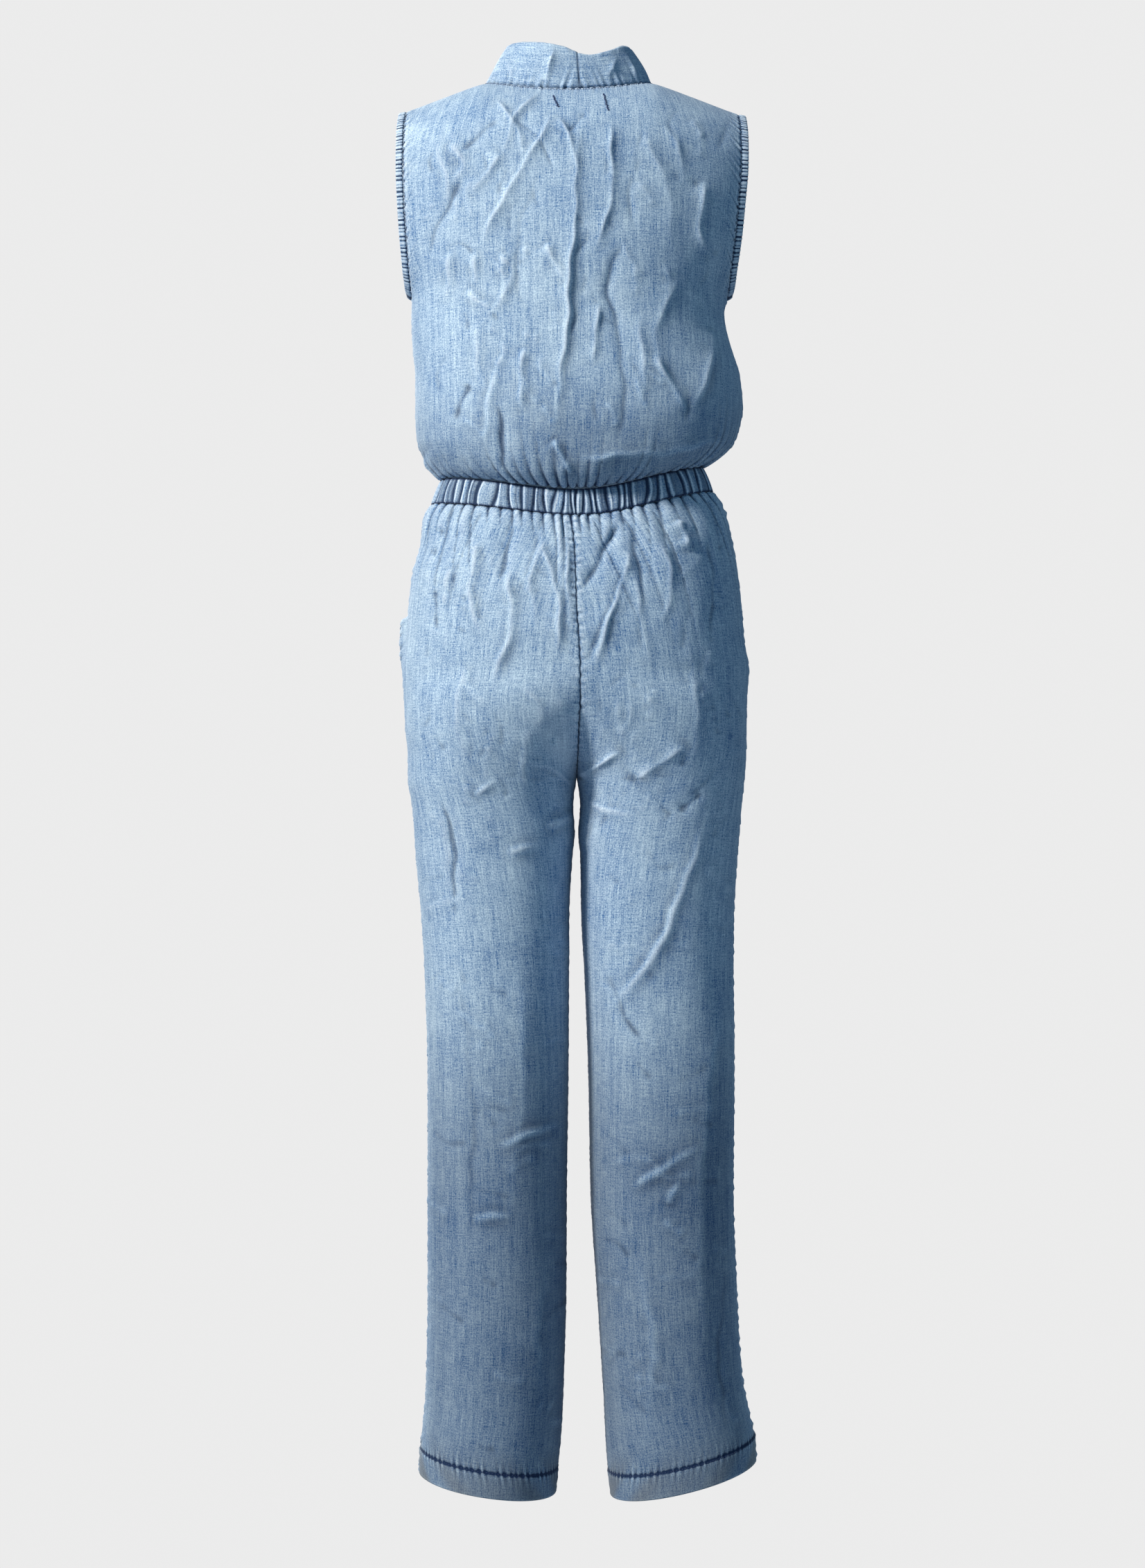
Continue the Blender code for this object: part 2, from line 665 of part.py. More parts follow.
def make_collar_band(name):
    side = SIDES[name]
    places, points, outward, away = collar_seam(name)
    stand = np.radians(read(COLLAR, "stand", places, "place"))[:, None]
    wide = read(COLLAR, f"wide_{name}", places, "place")[:, None]
    reach = np.cos(stand) * away + np.sin(stand) * outward
    face = -np.sin(stand) * away + np.cos(stand) * outward
    lap = (LAP[name] * smooth((places - LAP_FROM) / (LAP_FULL - LAP_FROM)))[:, None]
    flat = smooth((places - FLAT_FROM) / (FLAT_FULL - FLAT_FROM))
    outer, inner = [], []
    for share in (0.0, 0.5, 1.0):
        bulge = COLLAR_BULGE * 4 * share * (1 - share) * np.sin(stand)
        row = points + reach * (SEAM_GAP + (wide - SEAM_GAP) * share)
        on_chest = chest_depth(row[:, 0], row[:, 2])
        row[:, 1] += flat * (on_chest - row[:, 1])
        row += face * (lap + bulge)
        within = row - BAND_CLOTH * face
        keep_clear(row[:1], within[:1], 0, side, CENTRE_BACK_SEAM)
        foot = waist_tilt(math.atan2(row[-1, 1], row[-1, 0]), np.array(WAIST_TOP))
        row[-1, 2] = within[-1, 2] = WAIST_TOP + SEAM_GAP + foot
        outer.append(row)
        inner.append(within)
    wall(f"collar_band_{name}", outer, inner, denim)
    return outer[1], face


def make_armhole_binding(name):
    side = SIDES[name]
    share = 0.0 if side > 0 else 1.0

    def front(place, drop):
        return front_point(side, place, drop)

    drops = [drop for drop in reversed(BODICE_DROPS) if 0 < drop <= UNDERARM_DROP + 1e-6]
    stations = [(back_point(share, d), normals(back_point, share, d)) for d in drops]
    stations.append((back_point(share, 1e-6), normals(back_point, share, 1e-6)))
    stations += [(front(0.0, d), normals(front, 0.0, d)) for d in drops[:0:-1]]
    points = np.array([s[0] for s in stations])
    outward = np.array([s[1] for s in stations])
    inward = np.sum(outward[:, :2] * points[:, :2], 1) + UP_WEIGHT * outward[:, 2] < 0
    outward[inward] *= -1
    along = unit(np.roll(points, -1, axis=0) - np.roll(points, 1, axis=0))
    away = unit(np.cross(along, outward)) * -side
    low = BINDING_RAISE - CASING_CLOTH
    outer = [points + away * reach + outward * BINDING_RAISE for reach in (BINDING_GAP, BINDING_WIDTH)]
    inner = [points + away * reach + outward * low for reach in (BINDING_GAP, BINDING_WIDTH)]
    wall(f"armhole_binding_{name}", outer, inner, denim, ring=True)


def half_point(side, facing, share, height, start=0.0, waist_angle=None, folds=(), mouth=False):
    """A point of one trouser half: share 0 at the side seam, 1 at the centre seam or inseam."""
    name = "left" if side > 0 else "right"
    wide = read(TROUSERS, name, height)
    inside = read(TROUSERS, f"inner_{name}", height)
    deep = read(TROUSERS, facing, height)
    square = read(TROUSERS, "square", height)
    centre, half = (wide + inside) / 2, (wide - inside) / 2
    cut = np.minimum(centre / half, 1.0)
    end = np.where(inside < 0, np.arctan2(deep * (1 - cut**square) ** (1 / square), -centre), math.pi)
    angle = end * (start + share * (1 - start))
    toward = 1 if facing == "back" else -1
    reach = polar_reach(angle, half, deep, square)
    x = centre + reach * np.cos(angle)
    y = toward * reach * np.sin(angle)
    seam_shift = read(TROUSERS, "middle", height) * (1 - (x / wide) ** 2)
    place = np.arctan2(y, side * x + seam_shift)
    tilt = waist_tilt(np.where(height > CROTCH, place, math.pi / 2), height)
    slope = HEM_SLOPE[side] * (x - HEM_LEVEL_AT[side])
    z = height + tilt + slope * smooth((HEM_FADE_FROM - height) / (HEM_FADE_FROM - HEM_FOOT))
    if waist_angle is None:
        waist_angle = share * math.pi / 2
    out = read(GATHER, "depth", height) * np.sin(gather_phase(waist_angle))
    if mouth:
        out = out * smooth((share - POCKET_STAY) / POCKET_STAY)
    x = side * x + seam_shift
    out = out + fold_height(folds, x, z) * smooth((WAIST_FOOT - height) / FOLD_FADE) * seam_calm(share)
    return np.stack([x + side * out * np.cos(angle), y + toward * out * np.sin(angle), z], -1)


def seam_calm(share):
    """Folds ease off over the last of a panel, so that neighbours still meet at the seam."""
    return smooth((share + SEAM_SLACK) / SEAM_CALM) * smooth((1 + SEAM_SLACK - share) / SEAM_CALM)


def pocket_start(height):
    """Share of the quarter that the pocket mouth takes from the front, 0 below its foot."""
    depth = np.clip((height - POCKET_FOOT) / (WAIST_FOOT - POCKET_FOOT), 0, 1)
    return POCKET_SHARE * depth**POCKET_BOW


def trouser_rows(point, side, shares, heights, facing, open_side=False):
    outer, inner = [], []
    toward = 1 if facing == "back" else -1
    name = "left" if side > 0 else "right"
    for height in heights:
        row = point(shares, height)
        normal = normals(point, shares, np.full(len(shares), float(height)))
        middle = np.array([read(TROUSERS, name, height) / 2 * side * (height < CROTCH), 0])
        if np.sum(normal[:, :2] * (row[:, :2] - middle)) < 0:
            normal = -normal
        if height in (GATHER_FOOT, HEM_FOOT):
            normal = level(normal)
        cloth = HEM_CLOTH if height < HEM_LINE else CLOTH
        within = row - cloth * normal
        if not (open_side and height > POCKET_FOOT):
            keep_clear(row[:1], within[:1], 1, toward)
        if height > CROTCH:
            keep_clear(row[-1:], within[-1:], 0, side, float(read(TROUSERS, "middle", height)))
        else:
            keep_clear(row[-1:], within[-1:], 1, toward)
            keep_clear(row[-1:], within[-1:], 0, side)
        outer.append(row)
        inner.append(within)
    return outer, inner


def make_trouser_back(name):
    side = SIDES[name]

    def point(share, height):
        return half_point(side, "back", share, height, folds=TROUSER_FOLDS)

    gathered = gather_angles(0.0, math.pi / 2) / (math.pi / 2)
    columns = np.linspace(0, 1, TROUSER_BACK_FIELDS + 1)
    top = trouser_rows(point, side, gathered, TROUSER_GATHER_HEIGHTS, "back")
    rest = trouser_rows(point, side, columns, BACK_HEIGHTS + HEM_HEIGHTS, "back")
    wall(f"trouser_back_{name}", top[0] + rest[0], top[1] + rest[1], denim)


def make_trouser_front(name):
    side = SIDES[name]
    opening = POCKET_SHARE * math.pi / 2

    def point(share, height):
        start = pocket_start(height)
        waist_angle = opening + share * (math.pi / 2 - opening)
        return half_point(side, "front", share, height, start, waist_angle, FRONT_TROUSER_FOLDS, mouth=True)

    gathered = (gather_angles(opening, math.pi / 2) - opening) / (math.pi / 2 - opening)
    stay = np.linspace(0, POCKET_STAY, POCKET_STAY_COLUMNS)
    gathered = np.concatenate([stay, gathered[gathered > POCKET_STAY + 0.01]])
    columns = np.linspace(0, 1, TROUSER_FRONT_FIELDS + 1)
    top_heights = TROUSER_GATHER_HEIGHTS + (FACING_HEIGHTS[-1], POCKET_FOOT - 1)
    top = trouser_rows(point, side, gathered, top_heights, "front", open_side=True)
    rest = trouser_rows(point, side, columns, FRONT_HEIGHTS + HEM_HEIGHTS, "front", open_side=True)
    wall(f"trouser_front_{name}", top[0] + rest[0], top[1] + rest[1], denim)


def make_pocket_facing(name):
    """The cloth behind the slant pocket's mouth, a little inside the front and tucked under it."""
    side = SIDES[name]
    inset = CLOTH + POCKET_CLEAR

    def point(share, height):
        return half_point(side, "front", share, height, waist_angle=0.0 * share)

    outer, inner = [], []
    for height in FACING_HEIGHTS:
        shares = np.linspace(0.0, 1.0, FACING_COLUMNS) * (pocket_start(height) + POCKET_TUCK)
        row = point(shares, height)
        normal = normals(point, shares, np.full(len(shares), float(height)))
        if np.sum(normal[:, :2] * row[:, :2]) < 0:
            normal = -normal
        if height == FACING_HEIGHTS[0]:
            normal = level(normal)
        row = row - inset * normal
        within = row - CLOTH * normal
        keep_clear(row[:1], within[:1], 1, -1)
        outer.append(row)
        inner.append(within)
    wall(f"pocket_facing_{name}", outer, inner, denim)


def make_waistband():
    angles = np.arange(CASING_FIELDS) * 2 * math.pi / CASING_FIELDS
    outer, inner = [], []
    for height in (WAIST_TOP - HALF_GAP, CASING_MIDDLE, WAIST_FOOT + HALF_GAP):
        wide = np.where(np.cos(angles) > 0, read(TROUSERS, "left", height), read(TROUSERS, "right", height))
        deep = np.where(np.sin(angles) > 0, read(TROUSERS, "back", height), read(TROUSERS, "front", height))
        reach = polar_reach(angles, wide, deep, float(read(TROUSERS, "square", height)))
        puff = CASING_BARREL if height == CASING_MIDDLE else 0.0
        wave = (CASING_WAVE + puff) * np.sin(gather_phase(angles)) + puff
        turned = np.where(angles > math.pi, angles - 2 * math.pi, angles)
        z = height + waist_tilt(turned, height)
        flat = np.stack([np.cos(angles), np.sin(angles), 0 * angles], -1)
        row = flat * (reach + wave)[:, None]
        row[:, 2] = z
        outer.append(row)
        inner.append(row - flat * (CASING_CLOTH + 2 * puff))
    inner[1] = (inner[0] + inner[2]) / 2
    wall("waistband", outer, inner, denim, ring=True)


def make_button(number, middle, face):
    """A shirt button on the middle line of the upper front band."""
    height = BUTTON_TOP - number * BUTTON_STEP
    front = middle[:, 1] < -NECK_DEPTH
    line, facing = middle[front], face[front]
    order = np.argsort(line[:, 2])
    place, outward = (
        np.array([np.interp(height, line[order, 2], values[order, axis]) for axis in range(3)])
        for values in (line, facing)
    )
    outward = unit(outward)
    bpy.ops.mesh.primitive_cylinder_add(
        vertices=16, radius=BUTTON_RADIUS * MM, depth=BUTTON_THICK * MM
    )
    button = bpy.context.object
    button.name = f"button_{number + 1}"
    button.location = (place + outward * (BUTTON_THICK / 2 + BUTTON_CLEAR)) * MM
    button.rotation_euler = Vector(outward).to_track_quat("Z", "Y").to_euler()
    rim = button.modifiers.new("rim", "BEVEL")
    rim.width = BUTTON_BEVEL * MM
    rim.segments = 1
    rim.limit_method = "ANGLE"
    button.data.materials.append(resin)
    for owner in list(button.users_collection):
        owner.objects.unlink(button)
    collection.objects.link(button)


def finish(name, colour, roughness):
    material = bpy.data.materials.new(name)
    material.use_nodes = True
    shader = material.node_tree.nodes["Principled BSDF"]
    shader.inputs["Base Color"].default_value = (*colour, 1)
    shader.inputs["Roughness"].default_value = roughness
    shader.inputs["Metallic"].default_value = 0
    return material


for old in list(bpy.data.objects):
    bpy.data.objects.remove(old)
collection = bpy.data.collections.new("sleeveless_jumpsuit")
bpy.context.scene.collection.children.link(collection)
denim = finish("light_denim", (0.17, 0.28, 0.42), 0.85)
resin = finish("button_resin", (0.33, 0.37, 0.42), 0.35)

make_back_bodice()
for side_name in SIDES:
    make_front_bodice(side_name)
    upper_band = make_collar_band(side_name)
    make_armhole_binding(side_name)
make_waistband()
for side_name in SIDES:
    make_trouser_back(side_name)
    make_trouser_front(side_name)
    make_pocket_facing(side_name)
for number in range(BUTTON_COUNT):
    make_button(number, *upper_band)
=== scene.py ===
# Sleeveless chambray jumpsuit seen from its back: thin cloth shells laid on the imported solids.
# +X is the garment's left, +Y its back, +Z up. Sizes are mm, and newPiece turns them into metres.
import math

import bpy
import numpy as np
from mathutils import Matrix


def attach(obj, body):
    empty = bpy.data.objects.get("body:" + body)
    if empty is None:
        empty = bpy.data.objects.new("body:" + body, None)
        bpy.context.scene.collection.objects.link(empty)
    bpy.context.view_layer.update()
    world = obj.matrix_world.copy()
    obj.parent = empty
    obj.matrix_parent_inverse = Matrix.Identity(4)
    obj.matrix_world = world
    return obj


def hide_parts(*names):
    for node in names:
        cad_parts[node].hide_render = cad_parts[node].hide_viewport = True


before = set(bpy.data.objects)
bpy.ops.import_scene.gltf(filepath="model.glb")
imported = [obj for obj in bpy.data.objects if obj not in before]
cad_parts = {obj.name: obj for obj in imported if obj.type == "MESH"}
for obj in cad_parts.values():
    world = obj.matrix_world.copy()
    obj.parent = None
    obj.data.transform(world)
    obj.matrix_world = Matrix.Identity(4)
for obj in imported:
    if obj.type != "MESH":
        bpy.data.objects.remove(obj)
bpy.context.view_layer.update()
print("frame:", len(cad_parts), "nodes")

toMetres = 0.001
quarter = math.pi / 2
sides = (1, -1)  # the garment's left and right, as the sign of x

# shapes shared with the solids: the waist's tilt, the neck and the sections by height

waist = {
    "top": -423.0, "foot": -449.0, "rise": {1: 18.0, -1: 31.0}, "riseFront": 10.0,
    "fadeUp": 123.0, "fadeDown": 111.0, "gathers": 64, "drift": ((1.1, 4), (0.7, 12)),
}
shoulder = {"round": 84.0, "slope": 0.365, "fade": 150.0, "bend": 8.0}
neck = {"centre": 8.2, "halfWidth": 86.2, "depth": 62.0, "seamAt": -2.8, "blend": 1.9}
hem = {"line": -1405.0, "foot": -1430.0, "slope": {1: 0.150, -1: 0.245}, "levelAt": {1: 81.0, -1: 84.0},
       "fadeFrom": -1250.0}
underarm, crotch = -222.0, -710.0

bodiceColumns = ("height", "left", "right", "edgeBack", "edgeFront", "back", "front", "square")
bodiceRows = (
    (0, 174, 165, 62, 58, 101, 94, 2.0),
    (-30, 175, 166, 62, 58, 104, 97, 2.0),
    (-85, 175, 165.5, 62, 58, 108, 104, 2.0),
    (-129, 174, 163, 60, 57, 112, 111, 2.05),
    (-160, 172.5, 160.5, 56, 54, 114, 115, 2.1),
    (-182, 171, 158, 50, 48, 114.5, 117, 2.15),
    (-198, 170, 156, 42, 41, 115, 118, 2.2),
    (-210, 169, 155, 31, 30, 115, 119, 2.2),
    (-218, 168.5, 154, 17, 16, 115, 119, 2.2),
    (-222, 168.5, 153.5, 0, 0, 115, 119, 2.2),
    (-240, 169, 149.5, 0, 0, 115, 120, 2.25),
    (-268, 168, 157, 0, 0, 116, 121, 2.3),
    (-300, 165, 167, 0, 0, 119, 122, 2.3),
    (-340, 165, 170, 0, 0, 125, 124, 2.3),
    (-360, 164.5, 168, 0, 0, 127, 124, 2.3),
    (-380, 163, 165, 0, 0, 125.5, 120, 2.3),
    (-396, 158, 160, 0, 0, 122.5, 111.4, 2.25),
    (-409, 151, 150, 0, 0, 116, 102.7, 2.2),
    (-418, 144.5, 138, 0, 0, 106, 97, 2.2),
    (-423, 138.5, 129, 0, 0, 95, 94, 2.2),
)
necklineColumns = ("height", "left", "right")
necklineRows = (
    (0, 94.4, 78), (-30, 83, 69), (-70, 60, 51), (-110, 36, 32), (-145, 20, 19), (-175, 15, 15),
    (-423, 15, 15),
)
trouserColumns = ("height", "left", "right", "innerLeft", "innerRight", "back", "front", "square", "middle")
trouserRows = (
    (-423, 138.5, 129, -138.5, -129, 95, 94, 2.2, 0),
    (-436, 143, 134, -143, -134, 97, 96, 2.2, 0),
    (-449, 149, 140, -149, -140, 99, 97, 2.2, 6),
    (-465, 157, 150, -157, -150, 106, 102, 2.25, 4),
    (-485, 160, 157.5, -160, -157.5, 113, 107, 2.3, 2),
    (-510, 168, 164, -168, -164, 121, 112, 2.3, 1),
    (-540, 172, 169, -172, -169, 127, 115, 2.3, 0),
    (-570, 175, 171.5, -175, -171.5, 131, 116, 2.3, -2),
    (-600, 178, 176, -178, -176, 131, 115, 2.3, -3.5),
    (-630, 176.5, 174, -88, -86, 128, 113, 2.3, -3.5),
    (-660, 175, 173.5, -36, -35, 121, 110, 2.3, -2),
    (-690, 172.5, 173, -9, -9, 112, 106, 2.3, -1),
    (-710, 172.5, 171.5, 0, 0, 106, 103, 2.3, 0),
    (-740, 168, 168.5, 3.5, 3.5, 99, 99, 2.3, 0),
    (-766, 166, 166.5, 2, 1.5, 95, 96.5, 2.3, 0),
    (-790, 164.5, 164.5, 4.3, 3.6, 92, 94, 2.3, 0),
    (-850, 159, 161, 7.5, 4.6, 88, 89, 2.25, 0),
    (-910, 155.5, 160.5, 7.8, 7.8, 85, 85, 2.2, 0),
    (-1020, 152.5, 161, 8.5, 12, 82, 80, 2.2, 0),
    (-1130, 152.5, 160.5, 10, 14, 80, 76, 2.15, 0),
    (-1240, 152.5, 164.5, 10.6, 21, 79, 73, 2.1, 0),
    (-1300, 153.5, 167.5, 12.4, 25, 79, 72, 2.1, 0),
    (-1340, 154.5, 171, 13.8, 27.7, 79, 71, 2.1, 0),
    (-1380, 157.5, 177.5, 16.3, 29.8, 80, 71, 2.1, 0),
    (-1405, 160, 182, 19, 32, 80, 71, 2.1, 0),
    (-1430, 161, 183.5, 21.5, 35, 80, 71, 2.1, 0),
)


def asTable(columns, rows):
    return dict(zip(columns, np.array(sorted(rows), float).T))


bodiceTable = asTable(bodiceColumns, bodiceRows)
necklineTable = asTable(necklineColumns, necklineRows)
trouserTable = asTable(trouserColumns, trouserRows)


def readTable(source, column, at, key="height"):
    # cubic between the rows whose slopes are harmonic means, so it never overshoots a row
    x, y = source[key], source[column]
    width = np.diff(x)
    slope = np.diff(y) / width
    tangent = np.concatenate([slope[:1], np.zeros(len(x) - 2), slope[-1:]])
    steady = slope[:-1] * slope[1:] > 0
    tangent[1:-1][steady] = 2 * (slope[:-1] * slope[1:])[steady] / (slope[:-1] + slope[1:])[steady]
    at = np.clip(np.asarray(at, float), x[0], x[-1])
    i = np.clip(np.searchsorted(x, at) - 1, 0, len(width) - 1)
    t = (at - x[i]) / width[i]
    rise = y[i + 1] - y[i]
    start, end = tangent[i] * width[i], tangent[i + 1] * width[i]
    return y[i] + t * (start + t * (3 * rise - 2 * start - end + t * (start + end - 2 * rise)))


def pick(sign, source, height, names=("left", "right")):
    # the first column where the sign is positive, the second one elsewhere
    return np.where(sign > 0, *(readTable(source, name, height) for name in names))


def ease(t):
    # 3t^2 - 2t^3 between 0 and 1
    t = np.clip(t, 0, 1)
    return t * t * (3 - 2 * t)


def hump(distance, wide):
    # exp(-(distance / width)^2): 1 on a line, fading to both sides of it
    return np.exp(-((distance / wide) ** 2))


def unitOf(vectors):
    return vectors / np.maximum(np.linalg.norm(vectors, axis=-1, keepdims=True), 1e-9)


def turnsOf(count):
    return np.arange(count) * 2 * math.pi / count


def gatherPhase(angle):
    # gathers counted round the waist, in radians, with a slow drift that makes them uneven
    return waist["gathers"] * angle + sum(size * np.sin(turns * angle) for size, turns in waist["drift"])


def polarReach(angle, wide, deep, square):
    # how far a superellipse lies from its centre in this direction
    return (np.abs(np.cos(angle) / wide) ** square + np.abs(np.sin(angle) / deep) ** square) ** (-1 / square)


def waistTilt(angle, height):
    # lift of the waist at the sides and the front, fading above and below the elastic
    lift = np.where(np.cos(angle) > 0, waist["rise"][1], waist["rise"][-1]) * np.cos(angle) ** 2
    lift = lift + waist["riseFront"] * np.where(np.sin(angle) < 0, np.sin(angle) ** 2, 0)
    above = ease(1 - (height - waist["top"]) / waist["fadeUp"])
    below = ease(1 - (waist["foot"] - height) / waist["fadeDown"])
    return lift * np.minimum(above, below)


def dropHeight(drop):
    # a quarter round over the shoulder, then straight down
    turn = np.minimum(drop, quarter)
    return -shoulder["round"] * (1 - np.cos(turn) + drop - turn)


def heightDrop(height):
    rounds = -np.asarray(height, float) / shoulder["round"]
    return np.arccos(np.clip(1 - rounds, 0, 1)) + np.maximum(0, rounds - 1)


def pastShoulder(drop):
    # 0 on the ridge of the shoulder, 1 below its round
    return np.sin(np.minimum(drop, quarter))


def sideName(side):
    return "left" if side > 0 else "right"


def bodiceSection(height, facing):
    # how deep the section is at its side edge and in its middle, and how square it is
    return (readTable(bodiceTable, name, height) for name in ("edge" + facing.capitalize(), facing, "square"))


def fullWidth(edge, depth, deep, square):
    # half-width of the superellipse that passes through (edge, depth)
    return edge * (1 - np.minimum(depth / deep, 0.98) ** square) ** (-1 / square)


def bodicePoint(angle, drop, facing):
    # superellipse section at each height, turned over the shoulder and sloped outside the neck
    height = dropHeight(drop)
    depth, deep, square = bodiceSection(height, facing)
    wide = fullWidth(pick(np.cos(angle), bodiceTable, height), depth, deep, square)
    reach = polarReach(angle, wide, deep, square)
    x, y = reach * np.cos(angle), reach * np.sin(angle) * pastShoulder(drop)
    beyond = np.abs(x - neck["centre"]) - neck["halfWidth"]
    beyond = (beyond + np.hypot(beyond, shoulder["bend"])) / 2  # 0 inside the neck, then a soft bend
    slope = shoulder["slope"] * beyond * ease(1 + height / shoulder["fade"])
    return np.stack([x, y, height + waistTilt(angle, height) - slope], -1)


def solveRising(function, low, high):
    # bisection on whole arrays: where a rising function crosses 0
    for _ in range(40):
        middle = (low + high) / 2
        above = function(middle) > 0
        low, high = np.where(above, low, middle), np.where(above, middle, high)
    return (low + high) / 2


def backPoint(share, drop):
    # share 0 at the left edge of the back, 1 at its right edge
    height = dropHeight(drop)
    depth = readTable(bodiceTable, "edgeBack", height)
    start = np.arctan2(depth, readTable(bodiceTable, "left", height))
    end = math.pi - np.arctan2(depth, readTable(bodiceTable, "right", height))
    return bodicePoint(start + share * (end - start), drop, "back")


def frontAngles(side, share, drop):
    # share 0 at the side edge of a front, 1 at the neckline
    height = dropHeight(drop)
    edge = readTable(bodiceTable, sideName(side), height)
    depth, deep, square = bodiceSection(height, "front")
    inner = readTable(necklineTable, sideName(side), height)
    ahead = deep * (1 - (inner / fullWidth(edge, depth, deep, square)) ** square) ** (1 / square)
    start, end = -np.arctan2(depth, edge), -np.arctan2(ahead, inner)
    angle = start + share * (end - start)
    return angle if side > 0 else -math.pi - angle


def frontPoint(side, share, drop):
    return bodicePoint(frontAngles(side, share, drop), drop, "front")


def neckDrop(share):
    # how far over the shoulder's round the neck seam lies: an ellipse seen from above
    def pastNeck(drop):
        point = backPoint(share, drop)
        place = (point[..., 0] - neck["centre"]) / neck["halfWidth"]
        return point[..., 1] - neck["depth"] * np.sqrt(np.maximum(0.0, 1 - place * place))

    return solveRising(pastNeck, np.zeros_like(share), np.full_like(share, quarter))


def neckShare(xAt):
    one = np.zeros(1)
    return float(solveRising(lambda share: xAt - backPoint(share, one)[..., 0], one, one + 1)[0])


def chestDepth(x, z):
    # how far forward the front of the bodice lies near its middle
    height = z
    for _ in range(4):
        height = z - waistTilt(np.full(np.shape(z), -quarter), height)
    depth, deep, square = bodiceSection(height, "front")
    wide = fullWidth(pick(x, bodiceTable, height), depth, deep, square)
    forward = (1 - np.minimum(np.abs(x) / wide, 0.98) ** square) ** (1 / square)
    return -deep * pastShoulder(heightDrop(height)) * forward


def halfPoint(side, facing, share, height, start=0.0):
    # one trouser half: share 0 at the side seam, 1 at the centre seam or the inseam
    wide = readTable(trouserTable, sideName(side), height)
    inside = readTable(trouserTable, "inner" + sideName(side).capitalize(), height)
    deep, square = readTable(trouserTable, facing, height), readTable(trouserTable, "square", height)
    centre, half = (wide + inside) / 2, (wide - inside) / 2
    cut = np.minimum(centre / half, 1.0)
    end = np.where(inside < 0, np.arctan2(deep * (1 - cut**square) ** (1 / square), -centre), math.pi)
    angle = end * (start + share * (1 - start))
    toward = 1 if facing == "back" else -1
    reach = polarReach(angle, half, deep, square)
    x, y = centre + reach * np.cos(angle), toward * reach * np.sin(angle)
    shift = readTable(trouserTable, "middle", height) * (1 - (x / wide) ** 2)
    place = np.arctan2(y, side * x + shift)
    tilt = waistTilt(np.where(height > crotch, place, math.pi / 2), height)
    slope = hem["slope"][side] * (x - hem["levelAt"][side])
    z = height + tilt + slope * ease((hem["fadeFrom"] - height) / (hem["fadeFrom"] - hem["foot"]))
    return np.stack([side * x + shift, y, z], -1)


def surfaceNormal(point, share, drop, small=1e-4):
    # cross product of two small steps on the surface, in share and in drop
    across = point(share + small, drop) - point(share - small, drop)
    return np.cross(across, point(share, drop + small) - point(share, drop - small))


def turnedOut(normals, points, upWeight=60.0):
    # normals that point away from the body's upright axis, or up where they lie on the shoulder
    inward = np.sum(normals[:, :2] * points[:, :2], 1) + upWeight * normals[:, 2] < 0
    return np.where(inward[:, None], -normals, normals)


# relief: creases, gathers and puckers, all heights in mm along the cloth's normal

def smoothPath(path, steps=5):
    # a smooth curve through the given points: a cubic on each span, which leaves every point
    # in the direction of the line between its two neighbours
    points = np.array(path, float)
    ends = np.concatenate([2 * points[:1] - points[1:2], points, 2 * points[-1:] - points[-2:-1]])
    t = (np.arange(steps) / steps)[:, None, None]
    a, b, c, d = ends[:-3], ends[1:-2], ends[2:-1], ends[3:]
    curve = 0.5 * (2 * b + (c - a) * t + (2 * a - 5 * b + 4 * c - d) * t**2 + (3 * b - a - 3 * c + d) * t**3)
    return np.concatenate([curve.transpose(1, 0, 2).reshape(-1, points.shape[1]), points[-1:]])


creaseStyle = {
    "ridge": 1.75, "valley": 1.3,  # gains on the heights in the tables, so that they show from afar
    "core": 0.35,  # how round the crest is, as a share of the narrower flank
    # the sharp share of a crease, less on wide ones, and the width and roundness of that pinch
    "pinch": 0.5, "pinchLoss": 0.05, "pinchLeast": 0.08, "pinchMost": 0.45, "pinchWide": 2.8, "pinchCore": 1.0,
    "start": (0.22, 0.1), "end": (0.35, 0.05), "uneven": 0.3,  # tapers over both ends, and how the height varies
}


def flank(distance, core, wide):
    # exp(-distance / width), rounded off within the core so that the crest has no edge
    return np.exp((core - np.sqrt(distance**2 + core**2)) / wide)


def nearestOnLine(line, x, z):
    # distance from a broken line, which side of it each point lies on, and the share of the line passed
    best, signed, place = np.full(x.shape, 1e9), np.zeros(x.shape), np.zeros(x.shape)
    lengths = np.hypot(*np.diff(line, axis=0).T)
    starts = np.concatenate([[0], np.cumsum(lengths)])
    for k in range(len(line) - 1):
        ax, az = line[k]
        dx, dz = (line[k + 1] - line[k]) / lengths[k]
        t = np.clip((x - ax) * dx + (z - az) * dz, 0, lengths[k])
        ox, oz = x - ax - t * dx, z - az - t * dz
        distance = np.hypot(ox, oz)
        closer = distance < best
        best = np.where(closer, distance, best)
        signed = np.where(closer, ox * dz - oz * dx, signed)
        place = np.where(closer, (starts[k] + t) / starts[-1], place)
    return best, signed, place


